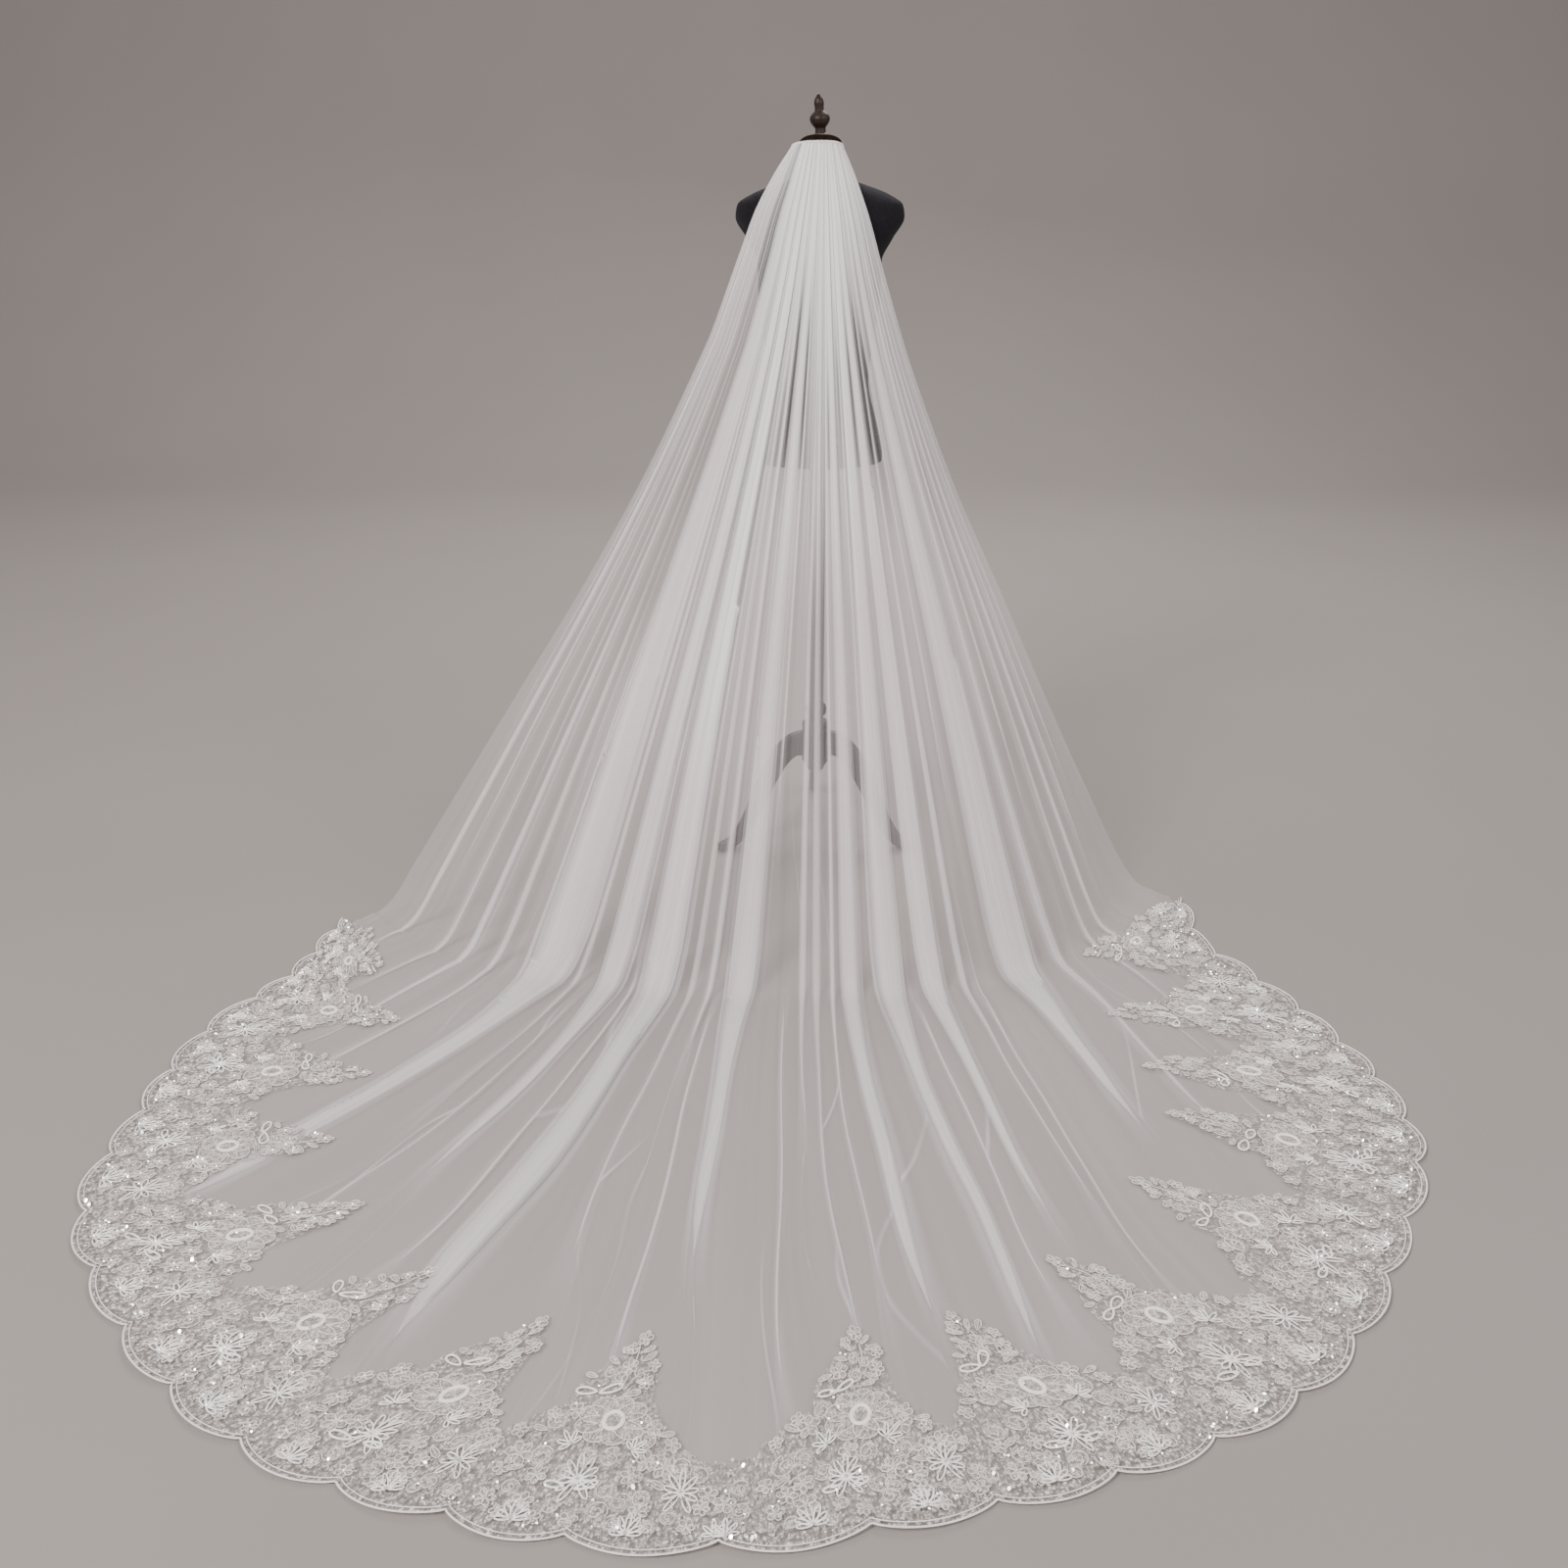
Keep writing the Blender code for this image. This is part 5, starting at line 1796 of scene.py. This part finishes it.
    def beads(self, section: Section, random: np.random.Generator) -> tuple[Array, list[Ints]]:
        """Make the beads and the tilted sequins of one section.

        A bead is an octahedron; a sequin is a hexagon leaned over a little.

        Args:
            section: The length of lace.
            random: Source of places, sizes and tilts.

        Returns:
            Points, and the faces of the beads and the sequins.
        """
        b = self.border
        middles, radii = [], []
        for motif in section.motifs:
            sewn = np.array([bead for bead in self.sewn[motif].beads if b.room(motif, bead.x)])
            middles.append(b.lie(b.set_out(sewn[:, :2], motif), self.bead_lift))
            radii.append(sewn[:, 2])
        centre, size = np.concatenate(middles), np.concatenate(radii)
        beads = (centre[:, None] + BALL * size[:, None, None]).reshape(-1, 3)
        balls = (6 * np.arange(len(centre))[:, None, None] + BALL_SIDES).reshape(-1, 3)
        middle = self.sequin_spots(section, random)
        radius = self.sequin_size[0] + self.sequin_size[1] * random.beta(*self.size_spread, len(middle))
        lean = random.normal(0, self.sequin_lean, (len(middle), 2))
        disc = around(np.arange(6) * np.pi / 3)[None] * radius[:, None, None]
        tilt = (disc * lean[:, None]).sum(-1)
        rim = np.concatenate((disc, tilt[..., None]), axis=-1) + middle[:, None]
        rim[..., 2] += self.sequin_rise * radius[:, None]
        discs = 6 * np.arange(len(middle))[:, None] + np.arange(6)
        return joined([(beads, [balls]), (rim.reshape(-1, 3), [discs])])

    def build(self, ground_finish: Material, sewn_on: list[Material], silver: Material) -> None:
        """Build each section as its ground, its cords and its sequins.

        Args:
            ground_finish: Finish of the embroidered ground.
            sewn_on: Finishes of the cords, the hem's cords and the petals.
            silver: Finish of the beads and sequins.
        """
        random = np.random.default_rng(SEED)
        b = self.border
        spans = zip(b.joins, b.joins[1:], b.groups, b.groups[1:])
        for number, (low, high, first, last) in enumerate(spans, start=1):
            section = Section(low, high, range(first, last))
            points, flat, cover, faces = self.ground(section)
            name, values = f"lace_ground_{number}", {"cover": cover}
            ground = new_piece(name, points, [faces], [ground_finish], flat, values)
            sewn, dim = self.cord_mesh(section.motifs)
            parts = (sewn, self.hem_cords(section), self.petals(section.motifs))
            points, flat, faces = joined(parts)
            dim = np.concatenate((dim, np.zeros(len(points) - len(dim))))
            values = {"cover": np.full(len(points), self.petal_cover), "dim": dim}
            slots = np.repeat((0, 1, 2), [sum(map(len, part[-1])) for part in parts])
            cords = new_piece(f"lace_cords_{number}", points, faces, sewn_on, flat, values, slots)
            points, faces = self.beads(section, random)
            sequins = new_piece(f"lace_sequins_{number}", points, faces, [silver], sharp=20.0)
            settle(ground, "lace", f"lace_border_{number}")
            settle(cords, "lace")
            settle(sequins, "lace")


# ---- comb and gathering


@dataclass(frozen=True)
class Comb:
    """A curved metal comb under the gathers, sewn on with thread."""

    radius: float = 0.0473
    wall: float = 0.0022
    top: float = 1.639
    bar: float = 0.007
    tooth: float = 0.04
    arc: float = 0.098
    teeth: int = 14
    teeth_arc: float = 0.97  # share of the bar that has teeth
    thick: float = 0.85  # of the bar's wall
    half_wide: float = 0.00115
    point: float = 0.55  # share of its section that a tooth loses at its tip
    overlap: float = 0.001
    stations: int = 61
    sides: int = 10
    tooth_rows: int = 9

    def build(self, metal: Material) -> Piece:
        """Build the comb.

        The bar is a closed section carried round the neck, and each tooth is
        the same section carried down, narrowing to its tip.

        Args:
            metal: Its material.

        Returns:
            The piece.
        """
        turns = np.linspace(-0.5, 0.5, self.stations)[:, None] * self.arc / self.radius
        half, ring = self.wall / 2, circle(self.sides)
        out = self.radius + half + half * np.cos(ring)
        level = self.top - self.bar / 2 + self.bar / 2 * np.sin(ring)
        bar = stacked(np.sin(turns) * out, -np.cos(turns) * out, level)
        parts = [(bar.reshape(-1, 3), [grid_faces(self.stations, self.sides, True)[:, ::-1]])]
        drop = np.linspace(0, 1, self.tooth_rows)[:, None, None]
        size = 1.0 - self.point * drop**3
        z = self.top - self.bar + self.overlap - self.tooth * drop
        pick = around(ring) * (self.thick * half, self.half_wide)
        for k in range(self.teeth):
            turn = (k / (self.teeth - 1) - 0.5) * self.teeth_arc * self.arc / self.radius
            way = np.array((math.sin(turn), -math.cos(turn)))
            side = np.array((-way[1], way[0]))
            plan = way * (self.radius + half) + (pick[:, :1] * way + pick[:, 1:] * side) * size
            tooth = stacked(plan[..., 0], plan[..., 1], z[..., 0]).reshape(-1, 3)
            parts.append((tooth, [grid_faces(self.tooth_rows, self.sides, True)]))
        return new_piece("hair_comb", *joined(parts), [metal])


@dataclass(frozen=True)
class Gathering:
    """The narrow bound edge on top of the gathers, puckered by its stitches."""

    tulle: Tulle
    bead: float = 0.0024
    puckers: float = 34.0
    waves: tuple[Pair, ...] = ((1.0, 0.16), (2.7, 0.06))  # turns in a pucker, and size
    blunt: int = 24  # power that rounds the ends; the higher, the blunter
    outside: float = 0.7
    below: float = 0.4
    tall: float = 1.3
    stations: int = 240
    sides: int = 12

    def build(self, finish: Material) -> Piece:
        """Build the binding: a round section along the gathered arc.

        Its radius swells and shrinks with each pucker, as sines along it.

        Args:
            finish: Its material.

        Returns:
            The piece.
        """
        s = np.linspace(-0.5, 0.5, self.stations)
        drape = self.tulle.drape
        turn = (s * drape.gather_arc / drape.gather_radius)[:, None]
        along = 2 * np.pi * self.puckers * s
        pucker = 1 + sum(size * np.sin(turns * along) for turns, size in self.waves)
        ends = np.sqrt(np.clip(1 - (2 * np.abs(s)) ** self.blunt, 0, 1))
        radius = (self.bead * pucker * ends)[:, None]
        ring = circle(self.sides)
        out = drape.gather_radius + self.bead * self.outside + radius * np.cos(ring)
        up = drape.gather_top - self.bead * self.below + self.tall * radius * np.sin(ring)
        points = stacked(np.sin(turn) * out, -np.cos(turn) * out, up)
        points = points + self.tulle.top_shift(s + 0.5, np.zeros_like(s))[:, None]
        flat = stacked((s * drape.gather_arc)[:, None], ring * self.bead)
        faces = grid_faces(self.stations, self.sides, True)[:, ::-1]
        return new_piece("gathered_edge", points, [faces], [finish], flat)


# ---- form and stand


class TorsoRow(NamedTuple):
    """The form's half width, and how far it goes back and front, at one height."""

    height: float
    half_width: float
    back: float
    front: float


class ProfileRow(NamedTuple):
    """A turned piece's radius at one height."""

    radius: float
    height: float


TORSO = table(TorsoRow,
    (0.956, 0.15, 0.112, 0.105), (0.98, 0.151, 0.112, 0.106), (1.05, 0.134, 0.1, 0.098),
    (1.14, 0.115, 0.086, 0.086), (1.25, 0.128, 0.1, 0.106), (1.34, 0.138, 0.108, 0.128),
    (1.4, 0.139, 0.104, 0.126), (1.45, 0.163, 0.096, 0.108), (1.495, 0.188, 0.082, 0.088),
    (1.52, 0.184, 0.074, 0.076), (1.545, 0.146, 0.066, 0.066), (1.562, 0.098, 0.058, 0.058),
    (1.574, 0.062, 0.05, 0.05), (1.586, 0.047, 0.047, 0.047), (1.645, 0.047, 0.047, 0.047),
)
CAP = table(ProfileRow,
    (0, 0.019), (0.014, 0.0188), (0.03, 0.016), (0.041, 0.0102), (0.0455, 0.0048), (0.0455, 0.0006),
    (0.045, 0), (0, 0),
)
FINIAL = table(ProfileRow,
    (0, 0.081), (0.0022, 0.0804), (0.004, 0.0775), (0.009, 0.07), (0.0107, 0.062), (0.0098, 0.054),
    (0.0098, 0.0485), (0.014, 0.044), (0.02, 0.0375), (0.022, 0.031), (0.02, 0.0235), (0.015, 0.0165),
    (0.0115, 0.0115), (0.0115, 0.005), (0.0145, 0.001), (0, 0.001),
)
HUB = table(ProfileRow,
    (0, 0.3), (0.027, 0.3), (0.0285, 0.2995), (0.0336, 0.2945), (0.034, 0.293), (0.034, 0.285),
    (0.0328, 0.282), (0.034, 0.279), (0.034, 0.205), (0.0328, 0.202), (0.034, 0.199), (0.034, 0.195),
    (0.026, 0.184), (0.016, 0.166), (0, 0.16),
)
POLE = table(ProfileRow,
    (0, 0.9557), (0.019, 0.9557), (0.019, 0.94), (0.021, 0.935), (0.021, 0.929), (0.019, 0.924),
    (0.019, 0.35), (0.025, 0.34), (0.027, 0.33), (0.025, 0.32), (0.019, 0.312), (0.019, 0.3003),
    (0, 0.3003),
)


@dataclass(frozen=True)
class Turned:
    """A piece turned on a lathe from a profile listed from its top down."""

    name: str
    profile: tuple[ProfileRow, ...]
    lift: float = 0.0
    lean: float = 0.0
    sides: int = 56
    fine: int = 4
    sharp: float = 40.0

    def build(self, wood: Material) -> Piece:
        """Build the piece: the profile carried round the axis, then leaned.

        Args:
            wood: Its material.

        Returns:
            The piece.
        """
        order = np.arange(len(self.profile))
        t = np.linspace(0, len(order) - 1, self.fine * (len(order) - 1) + 1)
        radius = through(order, column(self.profile, "radius"), t)[:, None]
        height = through(order, column(self.profile, "height"), t)[:, None]
        turn = circle(self.sides)
        x, y = radius * np.cos(turn), radius * np.sin(turn)
        cos, sin = math.cos(self.lean), math.sin(self.lean)
        points = stacked(x * cos + height * sin, y, height * cos - x * sin + self.lift)
        faces = grid_faces(*x.shape, True)
        return new_piece(self.name, points, [faces], [wood], sharp=self.sharp, weld=True)


@dataclass(frozen=True)
class Torso:
    """The form's body under its black cover, with sewn seams down it."""

    seams: tuple[float, ...] = (-90.0, -58.0, -122.0, 0.0, 180.0, 90.0, 56.0, 124.0)
    beside: tuple[float, ...] = (-1.6, -0.8, 0.0, 0.8, 1.6)  # degrees from a seam
    groove: float = 0.0011
    half_groove: float = 1.1
    seams_end: Pair = (1.5, 1.56)
    girth: float = 0.14
    rim: float = 0.985
    sides: int = 88
    rings: int = 120
    sharp: float = 50.0

    def build(self, cover: Material) -> Piece:
        """Build the body.

        Rings with their own width, back and front are carried up a smooth
        curve; a narrow bell-shaped groove sinks each seam.

        Args:
            cover: Its material.

        Returns:
            The piece.
        """
        heights = column(TORSO, "height")
        z = np.linspace(heights[-1], heights[0], self.rings)
        even = np.linspace(-180, 180, self.sides, endpoint=False)
        beside = [seam + off for seam in self.seams for off in self.beside]
        degrees = np.unique(np.round((np.concatenate((even, beside)) + 180) % 360 - 180, 3))
        turn, count = np.radians(degrees), len(degrees)
        width, back, front = (read(TORSO, name, z)[:, None] for name in ("half_width", "back", "front"))
        off = np.abs((degrees[:, None] - self.seams + 180) % 360 - 180).min(axis=1)
        sink = self.groove * np.exp(-((off / self.half_groove) ** 2))
        sink = sink * (1 - ease(*self.seams_end, z))[:, None]
        x = (width - sink) * np.cos(turn)
        y = (np.where(np.sin(turn) < 0, back, front) - sink) * np.sin(turn)
        points = stacked(x, y, z[:, None])
        flat = stacked(turn * self.girth, z[:, None]).reshape(-1, 2)
        middles = points.mean(axis=1)
        tops = [middles[row] + (points[row] - middles[row]) * self.rim for row in (0, -1)]
        last, base = (self.rings - 1) * count, self.rings * count
        ring = np.arange(count)
        after = (ring + 1) % count
        inner, inner_after = base + count + ring, base + count + after
        faces = [
            grid_faces(self.rings, count, True),
            stacked(base + ring, ring, after, base + after),
            stacked(last + ring, inner, inner_after, last + after),
            (base + ring)[None],
            inner[::-1][None],
        ]
        every = np.concatenate((points.reshape(-1, 3), *tops))
        own = np.concatenate((flat, flat[:count], flat[-count:]))
        return new_piece("dress_form", every, faces, [cover], uv=own, sharp=self.sharp)


@dataclass(frozen=True)
class Leg:
    """One curved leg of the stand, from the hub out to a flat foot.

    The curve's four points and the foot's stations are in side view: metres
    out from the axis and up, and for the foot also half its height there.
    """

    name: str
    angle: float
    curve: tuple[Pair, ...] = ((0.0343, 0.245), (0.135, 0.275), (0.17, 0.035), (0.256, 0.014))
    foot: tuple[Triple, ...] = ((0.27, 0.0122, 0.012), (0.2795, 0.0108, 0.01))
    half_thick: float = 0.011
    root_half: float = 0.033
    toe_half: float = 0.013
    rounding: float = 0.42  # power of the section's sines; 1 is an ellipse
    stations: int = 40
    sides: int = 20
    sharp: float = 50.0

    def build(self, wood: Material) -> Piece:
        """Build the leg: a rounded plank section along a cubic in side view.

        Args:
            wood: Its material.

        Returns:
            The piece.
        """
        root, knee, ankle, toe = (np.array(point) for point in self.curve)
        t = np.linspace(0, 1, self.stations)[:, None]
        s = 1 - t
        middle = s**3 * root + 3 * t * s**2 * knee + 3 * t**2 * s * ankle + t**3 * toe
        way = unit(s**2 * (knee - root) + 2 * t * s * (ankle - knee) + t**2 * (toe - ankle))
        side = stacked(-way[:, 1], way[:, 0])
        side[0] = (0.0, 1.0)
        foot = np.array(self.foot)
        middle = np.concatenate((middle, foot[:, :2]))
        side = np.concatenate((side, np.broadcast_to((0.0, 1.0), (len(foot), 2))))
        half = np.concatenate((self.root_half + (self.toe_half - self.root_half) * t, foot[:, 2:]))
        section = around(circle(self.sides))
        section = np.sign(section) * np.abs(section) ** self.rounding
        flat = middle[:, None] + side[:, None] * (half * section[:, 1])[..., None]
        flat[..., 1] = np.maximum(flat[..., 1], 0.0)
        turn = math.radians(self.angle)
        along, cross = around(turn), around(turn + math.pi / 2)
        out = (section[:, 0] * self.half_thick)[:, None]
        plan = flat[..., :1] * along + np.broadcast_to(out, (*flat.shape[:2], 1)) * cross
        points = np.concatenate((plan, flat[..., 1:]), axis=-1)
        rows, cols = points.shape[:2]
        ends = [np.arange(cols)[None], (np.arange(cols) + (rows - 1) * cols)[::-1][None]]
        faces = [grid_faces(rows, cols, True)[:, ::-1], *ends]
        return new_piece(self.name, points, faces, [wood], sharp=self.sharp)


# ---- floor and light


@dataclass(frozen=True)
class Lamp:
    """A square soft light."""

    name: str
    place: Triple
    aim: Triple
    size: float
    power: float
    colour: Colour = (1.0, 1.0, 1.0)

    def build(self) -> None:
        """Add the light, turned to what it lights."""
        data = bpy.data.lights.new(self.name, "AREA")
        data.size, data.energy, data.color = self.size, self.power, self.colour
        lamp = bpy.data.objects.new(self.name, data)
        lamp.location = self.place
        way = Vector(self.aim) - Vector(self.place)
        lamp.rotation_euler = way.to_track_quat("-Z", "Y").to_euler()
        bpy.context.scene.collection.objects.link(lamp)


LAMPS = (
    Lamp("key", (-3.2, -3.6, 4.6), (0.0, -0.2, 0.4), 2.4, 460.0, (1.0, 0.985, 0.97)),
    Lamp("fill", (3.8, -2.4, 3.6), (0.0, 0.0, 0.5), 3.0, 130.0, (0.98, 0.98, 1.0)),
    Lamp("back", (0.6, 4.2, 4.4), (0.0, 0.2, 0.6), 3.0, 230.0),
    Lamp("wall", (0.0, 2.0, 6.5), (0.0, 9.0, 5.0), 4.0, 170.0),
)


@dataclass(frozen=True)
class Studio:
    """Warm grey floor and wall, soft light and the camera."""

    colour: Colour = (0.265, 0.232, 0.215)
    sky: Colour = (0.97, 0.98, 1.0)
    ambient: float = 0.62
    camera_place: Triple = (0.0274, -2.7198, 1.7)
    camera_tilt: float = 66.94
    focal: float = 36.0
    sensor: float = 36.0
    farthest: float = 60.0
    half_floor: float = 14.0
    wall_start: float = 5.0
    wall_radius: float = 2.5
    wall_top: float = 9.0
    bend_rows: int = 13

    def backdrop(self) -> None:
        """Add one sheet: a floor that curves up into a wall behind."""
        turn = np.linspace(0.0, np.pi / 2, self.bend_rows)
        bend_y = self.wall_start + self.wall_radius * np.sin(turn)
        bend_z = self.wall_radius * (1 - np.cos(turn))
        y = np.array((-self.half_floor, *bend_y, bend_y[-1]))[:, None]
        z = np.array((0.0, *bend_z, self.wall_top))[:, None]
        x = np.array((-self.half_floor, self.half_floor))
        points = stacked(x, y, z) - FORM_AXIS
        paint = PaintFinish(self.colour).build()
        new_piece("studio_floor", points, [grid_faces(len(y), 2)[:, ::-1]], [paint])

    def lights(self) -> None:
        """Add the lamps and the even light of the room."""
        for lamp in LAMPS:
            lamp.build()
        world = bpy.data.worlds.new("studio")
        world.use_nodes = True
        light = world.node_tree.nodes["Background"]
        light.inputs["Color"].default_value = (*self.sky, 1.0)
        light.inputs["Strength"].default_value = self.ambient
        bpy.context.scene.world = world

    def camera(self) -> None:
        """Add the camera."""
        data = bpy.data.cameras.new("camera")
        data.lens, data.sensor_width, data.clip_end = self.focal, self.sensor, self.farthest
        camera = bpy.data.objects.new("camera", data)
        camera.location = self.camera_place
        camera.rotation_euler = (math.radians(self.camera_tilt), 0.0, 0.0)
        bpy.context.scene.collection.objects.link(camera)
        bpy.context.scene.camera = camera

    def build(self) -> None:
        """Add everything that isn't part of the object."""
        self.camera()
        self.backdrop()
        self.lights()


# ---- building


LEG_ANGLES = (90.0, 210.0, 330.0)


def build_form() -> None:
    """Build the dress form and its stand."""
    wood = WoodFinish().build()
    matt = WoodFinish("matt_dark_wood", light=(0.022, 0.012, 0.009), shine=0.0, coat=0.0).build()
    settle(Torso().build(JerseyFinish().build()), "form_cloth", "form_torso")
    turned = (
        (Turned("neck_cap", CAP, lift=1.6453), matt, "form_neck_cap"),
        (Turned("finial", FINIAL, lift=1.6646, lean=math.radians(-4.0), fine=6), wood, "form_finial"),
        (Turned("stand_hub_turned", HUB), wood, "stand_hub"),
        (Turned("stand_pole_turned", POLE), wood, "stand_pole"),
    )
    for piece, finish, node in turned:
        settle(piece.build(finish), "dark_wood", node)
    for number, angle in enumerate(LEG_ANGLES, start=1):
        settle(Leg(f"curved_leg_{number}", angle).build(wood), "dark_wood", f"stand_leg_{number}")


def build_veil() -> None:
    """Build the comb, the net with its bound edge, and the lace."""
    drape = Drape()
    floor = Floor(drape)
    settle(Comb().build(MetalFinish().build()), "comb_metal", "veil_comb")
    tulle = Tulle(drape, floor)
    net = tulle.build(NetFinish().build())
    edging = CordFinish("gathered_binding", (0.92, 0.81, 0.8), (0.8, 0.69, 0.69), 0.003)
    edge = Gathering(tulle).build(edging.build())
    tulle.dress(net, edge)
    border = Border(drape, floor, floor.heights())
    lace = Lace(border, tuple(Motif(number).stitch() for number in range(len(MOTIFS))))
    sewn_on = (
        CordFinish(),
        CordFinish("hem_cord", (0.84, 0.76, 0.73), (0.62, 0.54, 0.52), 0.0034),
        # the petals' dark colour is painted shade between their stitches, as on the ground
        LaceFinish("lace_petals", (0.78, 0.71, 0.66), (0.4, 0.34, 0.31), 0.006, 0.0022),
    )
    lace.build(LaceFinish().build(), [finish.build() for finish in sewn_on], SequinFinish().build())


def main() -> None:
    """Build the studio, the form with its stand and the veil, and note their size."""
    logging.basicConfig(level=logging.INFO, format="%(message)s")
    Studio().build()
    build_form()
    build_veil()


if __name__ == "__main__":
    main()
